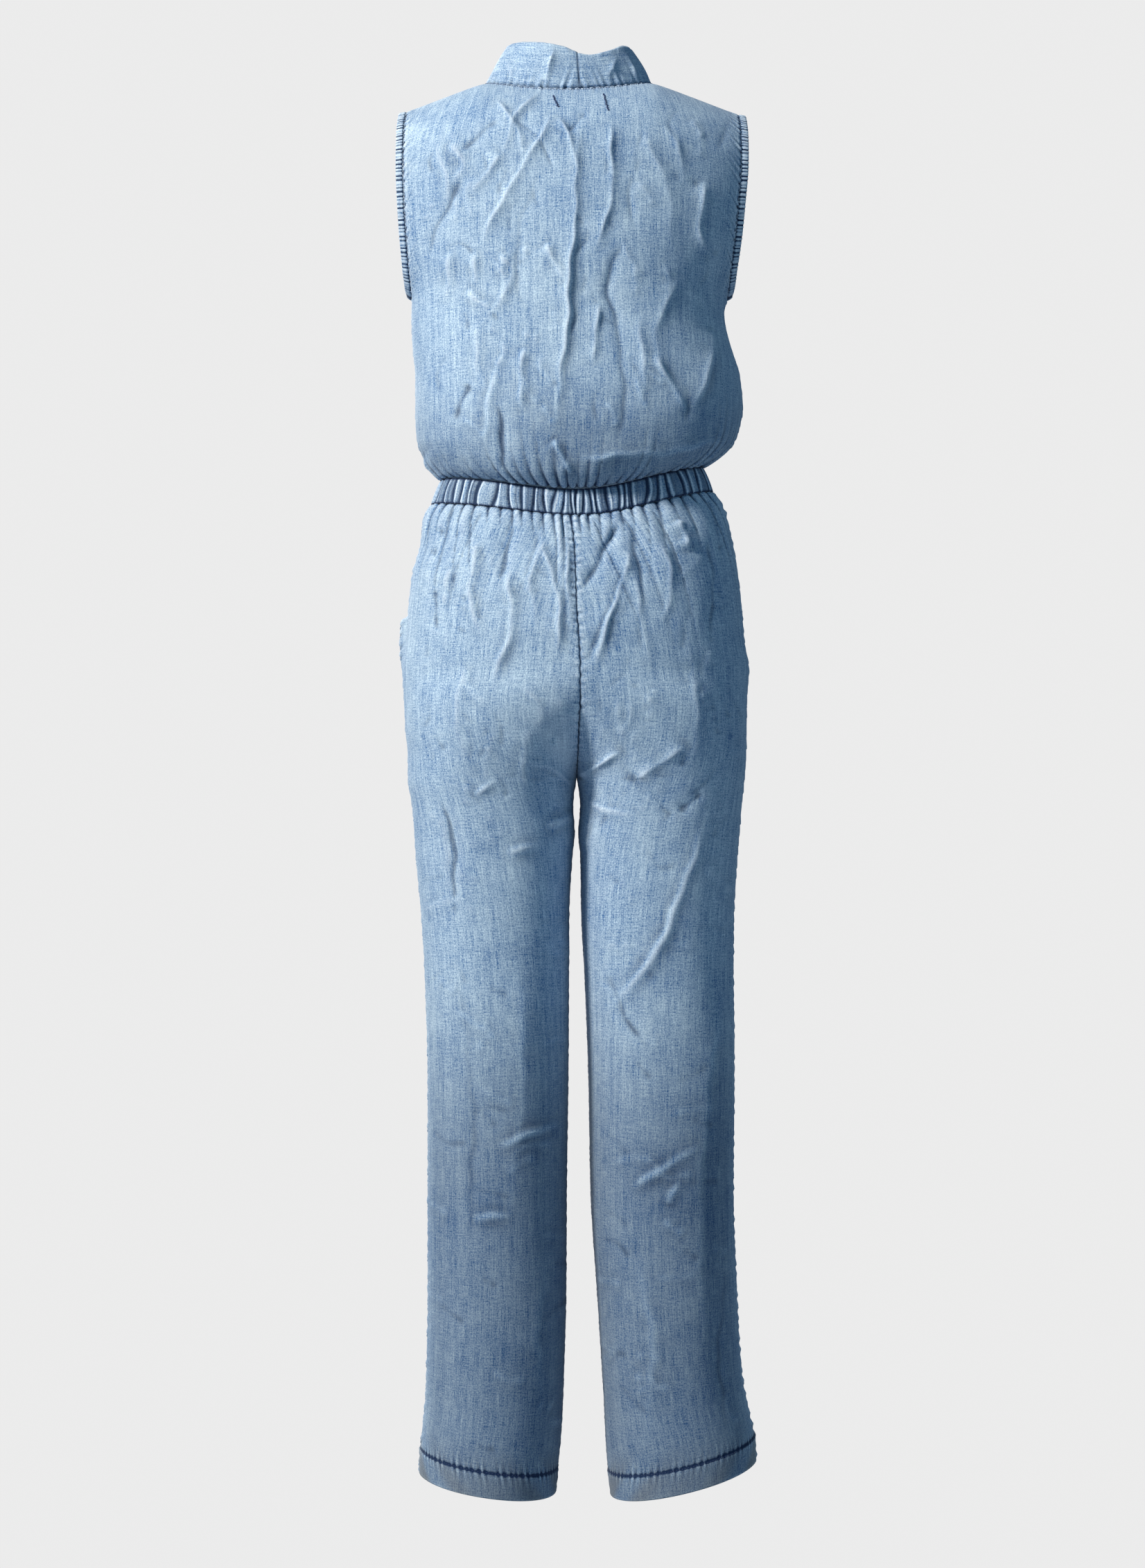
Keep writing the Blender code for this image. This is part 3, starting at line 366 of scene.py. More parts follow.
def creaseRelief(creases, x, z):
    # each crease is a sharp pinch on two broad flanks, with a width for either side, tapered over both ends;
    # its line wanders a little and its height varies along it
    style = creaseStyle
    wander = 1.5 * np.sin(z / 15 + x / 40) + 0.8 * np.sin(z / 5.7 + 1.7)
    climb = 1.4 * np.sin(x / 13 + 2) + 0.7 * np.sin(x / 4.9)
    x, z = x + wander, z + climb
    total = np.zeros(x.shape)
    for path, leftWide, rightWide, high in creases:
        line = smoothPath(path) if len(path) > 2 else np.array(path, float)
        narrow, broad = min(leftWide, rightWide), max(leftWide, rightWide)
        low, top = line.min(0) - 5 * broad, line.max(0) + 5 * broad
        near = (x > low[0]) & (x < top[0]) & (z > low[1]) & (z < top[1])
        if not near.any():
            continue
        best, signed, place = nearestOnLine(line, x[near], z[near])
        pinched = style["pinch"] - style["pinchLoss"] * (broad - 5)
        pinched = np.clip(pinched, style["pinchLeast"], style["pinchMost"])
        shape = (1 - pinched) * flank(best, style["core"] * narrow, np.where(signed > 0, leftWide, rightWide))
        shape = shape + pinched * flank(best, style["pinchCore"], style["pinchWide"])
        uneven = 1 - style["uneven"] / 2 + style["uneven"] * np.sin(9 * place + 3 * high)
        taper = ease(place / style["start"][0] + style["start"][1])
        taper = taper * ease((1 - place) / style["end"][0] + style["end"][1])
        total[near] += style["ridge" if high > 0 else "valley"] * high * uneven * shape * taper
    return total


def scatterCreases(seed, count, box, lean, length, wide, high):
    # small uneven creases over a box, most of them near one lean from the vertical
    rng = np.random.default_rng(seed)
    x, z = rng.uniform(box[0], box[1], count), rng.uniform(box[2], box[3], count)
    angle = np.radians(lean + rng.normal(0, 26, count))
    size = rng.uniform(length[0], length[1], count)
    bend = rng.normal(0, 0.12, count) * size
    made = []
    for k in range(count):
        dx, dz = math.sin(angle[k]) * size[k] / 2, math.cos(angle[k]) * size[k] / 2
        middle = (x[k] + bend[k] * math.cos(angle[k]), z[k] - bend[k] * math.sin(angle[k]))
        first, second = rng.uniform(wide[0], wide[1], 2)
        tall = rng.uniform(high[0], high[1]) * rng.choice([-1, 1])
        made.append((((x[k] - dx, z[k] - dz), middle, (x[k] + dx, z[k] + dz)), first, second, tall))
    return made


def ripple(along, pitch, seed):
    # three sines of unlike pitch, so puckers come uneven
    rng = np.random.default_rng(seed)
    a, b, c = rng.uniform(0, 2 * math.pi, 3)
    turn = 2 * math.pi * along / pitch
    return (np.sin(turn + a) + 0.6 * np.sin(turn / 1.37 + b) + 0.5 * np.sin(turn * 1.41 + c)) / 1.6


def puckers(distance, along, pitch, reach, high, seed):
    # ripples across a seam that die away from it
    return high * ripple(along + 0.35 * distance, pitch, seed) * np.exp(-distance / reach)


def gatherRelief(angle, away, seed, high, reach, sharp, slant=0.5, every=1.0):
    # |sin| puffs between narrow valleys; each gather has its own height and its own reach, most of them short
    rng = np.random.default_rng(seed)
    turns = gatherPhase(angle) / (2 * math.pi * every) + slant * np.sin(3 * angle + seed) * away / 60 / every
    k = np.floor(turns).astype(int) % waist["gathers"]
    tall = rng.uniform(0.3, 1.6, waist["gathers"])[k] * high
    far = reach[0] + (reach[1] - reach[0]) * (rng.uniform(0, 1, waist["gathers"]) ** 2)[k]
    puff = np.abs(np.sin(math.pi * turns)) ** sharp
    return tall * (puff - 0.6) * np.exp(-((away / far) ** 1.6)), puff


def blurred(field, times):
    # repeated three-point means along both directions
    for _ in range(times):
        padded = np.pad(field, 1, mode="edge")
        field = (padded[:-2, 1:-1] + padded[2:, 1:-1] + padded[1:-1, :-2] + padded[1:-1, 2:] + 2 * field) / 6
    return field


def sheetNormals(points, inside):
    # cross product of the two directions of the grid, turned away from the inside point
    normal = unitOf(np.cross(np.gradient(points, axis=1), np.gradient(points, axis=0)))
    facing = np.sum(normal * (points - inside), -1).mean()
    return normal if facing > 0 else -normal


def edgeLengths(points):
    # cloth lengths from the first and last column and from the first and last row
    across = np.linalg.norm(np.diff(points, axis=1), axis=-1)
    down = np.linalg.norm(np.diff(points, axis=0), axis=-1)
    fromLeft = np.pad(np.cumsum(across, 1), ((0, 0), (1, 0)))
    fromTop = np.pad(np.cumsum(down, 0), ((1, 0), (0, 0)))
    return fromLeft, fromLeft[:, -1:] - fromLeft, fromTop, fromTop[-1:] - fromTop


def layCloth(base, normal, relief):
    return base + normal * relief[..., None]


def seamDip(distance, deep=1.0, wide=1.3):
    # cloth turns in at a sewn edge
    return -deep * hump(distance, wide)


# wear and painted shading: below 0 the cloth is darker, where dye is kept at seams and where shade is painted
# into hollows, valleys and lower parts; above 0 it is paler, where it is rubbed and where light is painted on

wearAndShadeStyle = {"crest": 0.5, "hollow": 1.0, "least": -0.55, "most": 0.35, "valleyShadeWide": 0.35, "lineWide": 1.6}


def wearAndHollowShade(relief, times, gain):
    # crests rub pale and hollows get painted shade: the relief less its own blurred copy
    height = gain * (relief - blurred(relief, times))
    rubbed = np.where(height > 0, wearAndShadeStyle["crest"], wearAndShadeStyle["hollow"]) * height
    return np.clip(rubbed, wearAndShadeStyle["least"], wearAndShadeStyle["most"])


def seamMark(distance, along, mark, seed):
    # a dark line in the seam, and beside it a pale ridge broken up by the puckers; each mark is a list of
    # the line and its width, the ridge, where it lies and its width, its steady part and its pitch
    line, lineWide, ridge, ridgeAt, ridgeWide, steady, pitch = mark
    pale = ridge * hump(distance - ridgeAt, ridgeWide) * (steady + ripple(along, pitch, seed))
    return line * hump(distance, lineWide) + pale


def gatherMark(away, puff, line, valley, reach):
    # dye kept in the seam at the elastic, and painted shade in the valleys of the gathers beside it
    shadedValleys = valley * hump(puff, wearAndShadeStyle["valleyShadeWide"]) * hump(away, reach)
    return -line * hump(away, wearAndShadeStyle["lineWide"]) - shadedValleys


# materials

def linearColour(code):
    # an sRGB hex code as linear light
    parts = np.array([int(code[i : i + 2], 16) for i in (1, 3, 5)]) / 255
    parts = np.where(parts <= 0.04045, parts / 12.92, ((parts + 0.055) / 1.055) ** 2.4)
    return (*parts.tolist(), 1.0)


def addNode(tree, kind, settings=None, links=None, **inputs):
    # settings are the node's properties, links and inputs go to sockets by name or number
    node = tree.nodes.new(kind)
    for key, value in (settings or {}).items():
        setattr(node, key, value)
    for key, value in inputs.items():
        node.inputs[key.replace("_", " ")].default_value = value
    for key, source in (links or {}).items():
        tree.links.new(source, node.inputs[key])
    return node


def newMaterial(name):
    material = bpy.data.materials.new(name)
    material.use_nodes = True
    tree = material.node_tree
    return material, tree, tree.nodes["Principled BSDF"]


chambray = {
    # indigo warp and white weft: pale blue, speckled by uneven threads, with faint upright slubs
    "warp": "#295f95", "pale": "#cadce9", "darkTone": "#10294b", "worn": "#e9eff5", "tint": "#8f8672",
    "slubWide": 1.0, "slubLong": 22.0, "speckle": 1.4,  # mm; threads lie 0.35 mm apart, drawn coarser to show
    "wash": 11.0, "patch": 38.0,  # clouds in a metre: 90 mm ones from the wash and 26 mm ones from rubbing
    "gains": {"warp": 1.25, "weft": 0.8, "speckle": 1.6, "broad": 0.55, "wash": 0.5, "patch": 0.3},
    "lightness": 0.50, "paleGain": 0.8,
    "heights": {"warp": 0.5, "weft": 0.4, "speckle": 0.9}, "bump": 0.5, "bumpDeep": 0.0005,
    "rough": (0.78, 0.95),  # matt cotton, with the least sheen
    "sockets": {"Sheen Weight": 0.08, "Sheen Roughness": 0.5, "Specular IOR Level": 0.25},
}
chambrayInside = {**chambray, "warp": "#8fabc6", "pale": "#d5dfe8", "lightness": 0.75}  # more weft shows

# plain materials mottled between two colours; grains is their number in a metre
indigoPolyester = {
    # twisted sewing thread: deep blue, mottled by the twist, a little shiny
    "dark": "#141f3d", "light": "#2c4170", "grains": 900.0, "detail": 2.0, "swirl": 0.0,
    "sockets": {"Roughness": 0.55},
}
castResin = {
    # cast polyester button: satin, slightly cloudy blue-grey
    "dark": "#4b5d74", "light": "#8b9bb0", "grains": 180.0, "detail": 3.0, "swirl": 1.5,
    "sockets": {"Roughness": 0.28, "IOR": 1.55},
}


def makeCloth(name, spec):
    material, tree, shader = newMaterial(name)
    uv = addNode(tree, "ShaderNodeUVMap", {"uv_map": "cut"})
    inSpace = addNode(tree, "ShaderNodeTexCoord")

    wide, long, grain = spec["slubWide"], spec["slubLong"], spec["speckle"]
    onCut = {"warp": (wide, long, 3.0), "weft": (long * 0.7, wide * 1.1, 2.0),
             "speckle": (grain, grain * 1.2, 2.0), "broad": (wide * 5, long * 8, 2.0)}
    patterns = {}
    for key, (across, down, detail) in onCut.items():  # noise stretched to a size in mm on the flat cut
        place = addNode(tree, "ShaderNodeMapping", None, {"Vector": uv.outputs["UV"]},
                        Scale=(1000 / across, 1000 / down, 1.0))
        patterns[key] = addNode(tree, "ShaderNodeTexNoise", None, {"Vector": place.outputs["Vector"]},
                                Scale=1.0, Detail=detail, Roughness=0.6).outputs[0]
    for key, detail in (("wash", 4.0), ("patch", 3.0)):  # clouds that run on from piece to piece
        patterns[key] = addNode(tree, "ShaderNodeTexNoise", None, {"Vector": inSpace.outputs["Object"]},
                                Scale=spec[key], Detail=detail, Roughness=0.6).outputs[0]

    def weighed(gains, offset):
        # the offset plus each pattern times its gain
        total = None
        for key, gain in gains.items():
            links = {0: patterns[key]} if total is None else {0: patterns[key], 2: total.outputs[0]}
            total = addNode(tree, "ShaderNodeMath", {"operation": "MULTIPLY_ADD"}, links)
            total.inputs[1].default_value = gain
            if len(links) == 1:
                total.inputs[2].default_value = offset
        return total

    def blend(below, colour, socket, gain):
        # the colour laid over what is below, as much as the socket times the gain says
        share = addNode(tree, "ShaderNodeMath", {"operation": "MULTIPLY", "use_clamp": True}, {0: socket})
        share.inputs[1].default_value = gain
        return addNode(tree, "ShaderNodeMix", {"data_type": "RGBA"},
                       {"Factor": share.outputs[0], "A": below.outputs["Result"]}, B=linearColour(colour))

    wearAndShading = addNode(tree, "ShaderNodeAttribute", {"attribute_name": "wearAndShading"})
    tint = addNode(tree, "ShaderNodeAttribute", {"attribute_name": "tint"})
    tone = weighed(spec["gains"], spec["lightness"] - sum(spec["gains"].values()) / 2)
    tone.use_clamp = True
    cloth = addNode(tree, "ShaderNodeMix", {"data_type": "RGBA"}, {"Factor": tone.outputs[0]},
                    A=linearColour(spec["warp"]), B=linearColour(spec["pale"]))
    cloth = blend(cloth, spec["tint"], tint.outputs["Fac"], 1.0)
    # the pale tone goes where the attribute is above 0, for rubbing and painted highlights, and the dark tone
    # where it is below 0, for dye kept at seams and painted shade
    cloth = blend(cloth, spec["worn"], wearAndShading.outputs["Fac"], spec["paleGain"])
    cloth = blend(cloth, spec["darkTone"], wearAndShading.outputs["Fac"], -1.0)
    high = weighed(spec["heights"], 0.0)
    relief = addNode(tree, "ShaderNodeBump", None, {"Height": high.outputs[0]},
                     Strength=spec["bump"], Distance=spec["bumpDeep"])
    rough = addNode(tree, "ShaderNodeMapRange", None, {"Value": patterns["speckle"]},
                    To_Min=spec["rough"][0], To_Max=spec["rough"][1])
    tree.links.new(cloth.outputs["Result"], shader.inputs["Base Color"])
    tree.links.new(relief.outputs["Normal"], shader.inputs["Normal"])
    tree.links.new(rough.outputs[0], shader.inputs["Roughness"])
    for key, value in spec["sockets"].items():
        shader.inputs[key].default_value = value
    return material


def makeMottled(name, spec):
    material, tree, shader = newMaterial(name)
    inSpace = addNode(tree, "ShaderNodeTexCoord")
    mottle = addNode(tree, "ShaderNodeTexNoise", None, {"Vector": inSpace.outputs["Object"]},
                     Scale=spec["grains"], Detail=spec["detail"], Distortion=spec["swirl"])
    mix = addNode(tree, "ShaderNodeMix", {"data_type": "RGBA"}, {"Factor": mottle.outputs[0]},
                  A=linearColour(spec["dark"]), B=linearColour(spec["light"]))
    tree.links.new(mix.outputs["Result"], shader.inputs["Base Color"])
    for key, value in spec["sockets"].items():
        shader.inputs[key].default_value = value
    return material


faceCloth = makeCloth("washed_chambray_face", chambray)
reverseCloth = makeCloth("washed_chambray_reverse", chambrayInside)
indigoThread = makeMottled("indigo_sewing_thread", indigoPolyester)
buttonResin = makeMottled("cast_button_resin", castResin)
print("materials: done")


# meshes

def placeObject(name, data):
    thing = bpy.data.objects.new(name, data)
    bpy.context.scene.collection.objects.link(thing)
    return thing


def newPiece(name, points, faces, materials):
    mesh = bpy.data.meshes.new(name)
    mesh.from_pydata((points * toMetres).tolist(), [], faces)
    for material in materials:
        mesh.materials.append(material)
    mesh.shade_smooth()
    piece = placeObject(name, mesh)
    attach(piece, "root")
    return piece


def gridIndex(rows, columns, first=0, ring=False):
    # numbers of a grid's points; a ring meets its own first column again
    index = first + np.arange(rows * columns).reshape(rows, columns)
    return np.concatenate([index, index[:, :1]], 1) if ring else index


def gridFaces(index):
    return np.stack([index[:-1, :-1], index[1:, :-1], index[1:, 1:], index[:-1, 1:]], -1).reshape(-1, 4)


def turnInward(points, faces, normal):
    # whether the faces look against the normals at their first corners
    corners = points[faces]
    turned = np.cross(corners[:, 2] - corners[:, 0], corners[:, 3] - corners[:, 1])
    return np.sum(turned * normal.reshape(-1, 3)[faces[:, 0]]) < 0


def rimFaces(fine, coarse):
    # four triangles join each step of the coarse edge to the three steps of the fine edge beside it
    a, b, c, d = fine[0:-1:3], fine[1::3], fine[2::3], fine[3::3]
    first, second = coarse[:-1], coarse[1:]
    triangles = ((a, b, first), (b, c, first), (c, second, first), (c, d, second))
    return np.concatenate([np.stack(triangle, -1) for triangle in triangles])


def finishSheet(piece, node, uvCorners, wearAndShading, tint):
    # the cut as a UV map and the marks of wear and painted shading as attributes; the imported node behind the
    # piece is hidden
    piece.data.uv_layers.new(name="cut").data.foreach_set("uv", uvCorners.astype(np.float32).ravel())
    for key, values in (("wearAndShading", wearAndShading), ("tint", tint)):
        attribute = piece.data.attributes.new(key, "FLOAT", "POINT")
        attribute.data.foreach_set("value", values.astype(np.float32).ravel())
    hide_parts(node)


def wallBehind(points, normal, thick, ring):
    # every third point, moved back by the thickness from the lowest fine point near it, so that no sharp
    # valley of the outer grid cuts through the coarse wall
    rows, columns = points.shape[:2]
    rowsAt, columnsAt = np.arange(0, rows, 3), np.arange(0, columns, 3)
    coarse, out = points[::3, ::3], normal[::3, ::3]
    lowest = np.zeros(coarse.shape[:2])
    for i in range(-3, 4):
        for j in range(-3, 4):
            beside = (columnsAt + j) % columns if ring else np.clip(columnsAt + j, 0, columns - 1)
            moved = points[np.clip(rowsAt + i, 0, rows - 1)][:, beside]
            lowest = np.minimum(lowest, np.sum((moved - coarse) * out, -1))
    return coarse + out * (lowest - thick)[..., None]


def makeShell(node, points, normal, wearAndShading, thick, cut, tint=0.0, ring=False):
    # a fine outer grid, a wall behind it on every third point, and a rim; its cut is the UV map
    rows, columns = points.shape[:2]
    behind = wallBehind(points, normal, thick, ring)
    outerIndex = gridIndex(rows, columns, 0, ring)
    innerIndex = gridIndex(*behind.shape[:2], rows * columns, ring)
    outer, inner = gridFaces(outerIndex), gridFaces(innerIndex)[:, ::-1]
    edges = [(outerIndex[0], innerIndex[0]), (outerIndex[-1, ::-1], innerIndex[-1, ::-1])]
    if not ring:
        edges += [(outerIndex[::-1, 0], innerIndex[::-1, 0]), (outerIndex[:, -1], innerIndex[:, -1])]
    rim = np.concatenate([rimFaces(fine, coarse) for fine, coarse in edges])
    flat = np.concatenate([points.reshape(-1, 3), behind.reshape(-1, 3)])
    if turnInward(flat, outer, normal):
        outer, inner, rim = outer[:, ::-1], inner[:, ::-1], rim[:, ::-1]
    faces = outer.tolist() + inner.tolist() + rim.tolist()
    piece = newPiece(node + "_cloth", flat, faces, [faceCloth, reverseCloth])
    inside = np.zeros(len(faces), np.int32)
    inside[len(outer) : len(outer) + len(inner)] = 1
    piece.data.polygons.foreach_set("material_index", inside)
    spots = np.concatenate([cut.reshape(-1, 2), cut[::3, ::3].reshape(-1, 2)]) * toMetres
    around = np.ptp(spots[:, 0])
    corners = []
    for part in (outer, inner, rim):
        uv = spots[part]
        if ring:  # corners past the end of the round go on instead of back to 0
            uv[..., 0] += around * (uv[..., 0] < uv[..., 0].max(1, keepdims=True) - around / 2)
        corners.append(uv.reshape(-1, 2))
    marks = []
    for values in (wearAndShading, tint):
        values = np.broadcast_to(values, (rows, columns))
        fainter = 0.3 * values[::3, ::3]  # on the reverse
        marks.append(np.concatenate([values.ravel(), fainter.ravel()]))
    finishSheet(piece, node, np.concatenate(corners), *marks)


# one stitch as four rings of points: places in shares of its length, sizes and rises of its thickness
stitch = {
    "round": 5, "places": (-0.5, -0.3, 0.3, 0.5), "sizes": (0.25, 1.0, 1.0, 0.25),
    "rises": (-0.8, 0.15, 0.15, -0.8),
}


def sewRow(name, path, outward, pitch=3.0, long=2.2, thick=0.34, lift=0.1):
    # stitches as small bars laid end to end along a line: pitch apart, each tapered at both ends
    lengths = np.concatenate([[0], np.cumsum(np.linalg.norm(np.diff(path, axis=0), axis=1))])
    count = max(2, int(lengths[-1] / pitch))
    at = (np.arange(count) + 0.5) * lengths[-1] / count

    def along(values, where):
        return np.stack([np.interp(where, lengths, values[:, axis]) for axis in range(3)], -1)

    centre, up = along(path, at), unitOf(along(outward, at))
    ahead = unitOf(along(path, at + long / 2) - along(path, at - long / 2))
    beside = unitOf(np.cross(up, ahead))
    centre, up, ahead, beside = (vectors[:, None, None] for vectors in (centre, up, ahead, beside))
    places, sizes, rises = (np.array(stitch[key])[:, None, None] for key in ("places", "sizes", "rises"))
    turns = turnsOf(stitch["round"])[:, None]
    spots = (centre + ahead * (places * long) + up * (rises * thick + lift)
             + sizes * thick * (np.cos(turns) * beside + np.sin(turns) * up))
    bar = gridFaces(gridIndex(4, stitch["round"], ring=True))[:, [0, 3, 2, 1]]
    caps = np.array([[4, 3, 2, 1, 0], [15, 16, 17, 18, 19]])
    faces = []
    for part in (bar, caps):
        faces += (part[None] + (np.arange(count) * 20)[:, None, None]).reshape(-1, part.shape[1]).tolist()
    newPiece(name, spots.reshape(-1, 3), faces, [indigoThread])


# the bodice: back and fronts share their way of gathering and their marks of wear and painted shade

bodiceSpec = {
    "thick": 0.6, "reach": (6, 44), "sharp": 0.8,  # mm: the wall, how far the gathers run, and their form
    "shelf": (-275, -175, 22),  # between these heights the step under the arm is evened out, with this fade
    "seamMark": (-0.7, 1.6, 0.25, 3.4, 1.8, 1.0, 4.3), "waistMark": (0.6, 0.55, 9),
    "blur": 10, "wearAndShading": 0.9,
}
backSpec = {
    "columns": 253, "rows": 298, "rowPower": 0.97, "gather": 2.8,
    "neckPucker": (7.5, 7, 0.8), "sidePucker": (8, 7, 1.0),  # pitch, reach and height
    "neckMark": (-0.75, 1.5, 0.35, 3.4, 1.7, 1.0, 3.1),
    # painted shade on the lower back under the blouson: where it starts and over how far it deepens, how dark,
    # more near the middle, and where and how wide that middle is
    "blousonShade": {"from": -280, "over": 100, "darkTone": 0.2, "middle": 0.16, "at": -10, "wide": 70},
}

# creases of the back as (points x, z), width to the line's left and right, height
backCreases = (
    (((1, -58), (-1, -100), (1, -139), (4, -175), (7, -222), (14, -304), (20, -346), (31, -394)), 4, 12, 3.2),
    (((-31, -60), (-36, -111), (-33, -139), (-16, -194)), 4, 10, 2.2),
    (((22, -52), (51, -100), (77, -147), (93, -176), (104, -182)), 9, 4, 2.4),
    (((-53, -173), (-30, -226), (-42, -275), (-46, -332), (-41, -391)), 12, 5, -2.4),
    (((-126, -117), (-123, -165), (-130, -195)), 10, 5, 2.2),
    (((126, -77), (113, -100), (126, -123)), 6, 6, 1.8),
    (((115, -116), (141, -166), (148, -191)), 10, 5, -2.4),
    (((74, -88), (107, -133)), 4, 9, 1.8),
    (((18, -55), (4, -88), (-2, -110)), 3, 7, 1.8),
    (((-10, -48), (4, -63), (16, -74)), 3, 5, -1.4),
    (((34, -182), (10, -221)), 4, 8, 1.8),
    (((-20, -238), (-17, -303)), 3, 8, 1.9),
    (((-76, -289), (-92, -322), (-112, -350)), 4, 9, 1.9),
    (((79, -300), (86, -345), (93, -386)), 9, 4, 1.6),
    (((75, -340), (76, -375), (74, -408)), 8, 3, -3.0),
    (((54, -285), (53, -352)), 4, 8, 2.2),
    (((107, -318), (121, -360)), 8, 4, -2.0),
    (((24, -378), (14, -394), (2, -410)), 3, 6, 2.2),
    (((126, -184), (131, -236)), 4, 8, 1.6),
    (((102, -186), (102, -222)), 3, 6, 1.5),
    (((110, -226), (85, -245)), 3, 6, 1.5),
    (((77, -192), (62, -206)), 3, 5, 1.4),
    (((-140, -262), (-130, -300), (-116, -350)), 5, 12, 3.0),
    (((35, -24), (62, -58), (74, -92)), 3, 8, 1.6),
    (((82, -30), (62, -58), (53, -98)), 3, 8, 1.8),
    (((75, -55), (98, -72), (117, -96)), 8, 4, -1.5),
    (((60, -58), (36, -84), (20, -120)), 3, 8, -1.3),
    (((-60, -60), (-88, -120), (-96, -190)), 10, 12, 1.6),
    (((-100, -210), (-80, -260), (-84, -320)), 8, 12, 1.8),
    (((140, -70), (128, -130), (138, -160)), 5, 9, 1.4),
    (((30, -120), (55, -160), (60, -215), (44, -262)), 9, 10, -1.4),
    (((-64, -96), (-50, -140), (-62, -176)), 5, 8, -1.2),
    (((96, -255), (100, -300), (88, -330)), 6, 8, 1.3),
    (((62, -190), (70, -232), (98, -262)), 6, 8, 1.3),
    (((-84, -58), (-102, -84), (-104, -120)), 5, 9, 1.3),
    (((-60, -250), (-66, -300), (-60, -352)), 6, 9, 1.4),
    (((-2, -396), (-50, -392), (-100, -384), (-158, -368)), 8, 9, 2.4),
    (((158, -381), (148, -398), (134, -415)), 5, 8, 2.0),
)
smallBack = scatterCreases(3, 64, (-150, 155, -370, -50), 8, (16, 50), (2.6, 6.0), (0.3, 0.65))


def easedShelf(base, shelf):
    # evens out the step under the arm: columns are averaged up and down, away from the side edges
    left, right, _, _ = edgeLengths(base)
    z = base[..., 2]
    low, high, fade = shelf
    weight = ease((z - low + fade) / fade) * ease((high + fade - z) / fade)
    weight = weight * ease(np.minimum(left, right) / 26)
    soft = base.copy()
    for _ in range(260):
        soft[1:-1] = (soft[:-2] + 2 * soft[1:-1] + soft[2:]) / 4
    return base + weight[..., None] * (soft - base)


def backBodice():
    spec = {**bodiceSpec, **backSpec}
    share = np.linspace(0, 1, spec["columns"])
    drops = float(heightDrop(waist["top"])) * np.linspace(0, 1, spec["rows"])[:, None] ** spec["rowPower"]
    drop = drops + neckDrop(share)[None] * np.clip(1 - drops / neck["blend"], 0, 1)
    share = np.broadcast_to(share, drop.shape)
    base = easedShelf(backPoint(share, drop), spec["shelf"])
    normal = sheetNormals(base, np.array([0, -60, -200.0]))
    left, right, down, up = edgeLengths(base)
    side, x, z = np.minimum(left, right), base[..., 0], base[..., 2]
    cut = np.stack([left - left[:, spec["columns"] // 2][:, None], drop * shoulder["round"]], -1)
    turn, seams = pastShoulder(drop), ease(side / 12)
    relief = creaseRelief(backCreases, x, z) * ease(turn * 1.2) * (0.25 + 0.75 * seams)
    relief = relief * ease(down / 14 + 0.1)
    relief += creaseRelief(smallBack, x, z) * ease(turn) * seams
    gathers, puff = gatherRelief(math.pi * share, up, 5, spec["gather"], spec["reach"], spec["sharp"])
    relief += gathers * ease(side / 8 + 0.3)
    fromCorner = neck["halfWidth"] - np.abs(x - neck["centre"])
    atNeck = (fromCorner > 0) * ease(fromCorner / 12)
    relief += atNeck * puckers(down, left, *spec["neckPucker"], 11)
    relief += puckers(side, down, *spec["sidePucker"], 12)
    wearAndShading = wearAndHollowShade(relief, spec["blur"], spec["wearAndShading"])
    fold = spec["blousonShade"]  # painted shade on the blouson's lower part, deepest near the middle
    darkTone = fold["darkTone"] + fold["middle"] * hump(x - fold["at"], fold["wide"])
    wearAndShading -= darkTone * ease((fold["from"] - z) / fold["over"])
    wearAndShading += atNeck * seamMark(down, left, spec["neckMark"], 4) + seamMark(side, down, spec["seamMark"], 7)
    wearAndShading += gatherMark(up, puff, *spec["waistMark"])
    relief += seamDip(down, 0.9) + seamDip(side, 0.9) + seamDip(up, 1.6, 2.0)
    points = layCloth(base, normal, relief)
    makeShell("back_bodice", points, normal, wearAndShading, spec["thick"], cut)
    return points, normal


backPoints, backNormals = backBodice()
print("back bodice: done")

frontCreases = {
    1: (
        (((150, -120), (118, -180), (70, -262)), 8, 14, -2.8),
        (((90, -262), (92, -320), (97, -378)), 5, 10, 2.6),
        (((50, -292), (54, -350), (56, -390)), 4, 9, -2.6),
        (((96, -40), (84, -90), (52, -140)), 6, 9, 1.8),
        (((130, -240), (126, -300), (132, -360)), 6, 10, 2.2),
        (((68, -150), (60, -210), (72, -250)), 5, 9, 1.5),
        (((28, -230), (34, -300), (30, -370)), 5, 9, 1.8),
    ),
    -1: (
        (((-142, -120), (-104, -190), (-70, -255)), 14, 8, -2.8),
        (((-86, -262), (-92, -330), (-94, -378)), 9, 5, 2.6),
        (((-52, -290), (-48, -350), (-50, -392)), 4, 9, -2.4),
        (((-80, -40), (-70, -100), (-44, -140)), 9, 6, 1.7),
        (((-128, -250), (-120, -310), (-128, -360)), 9, 6, 2.2),
        (((-60, -160), (-54, -214), (-66, -262)), 8, 5, 1.5),
        (((-26, -240), (-32, -300), (-28, -380)), 5, 9, -1.7),
    ),
}
frontSpec = {
    "columns": 97, "rows": 202, "gather": 1.9,
    "sidePucker": (9, 6, 0.8), "edgePucker": (8, 5, 0.8),  # pitch, reach and height
    "small": {1: (20, 150, -370, -60), -1: (-150, -20, -370, -60)},  # where small creases are scattered
}


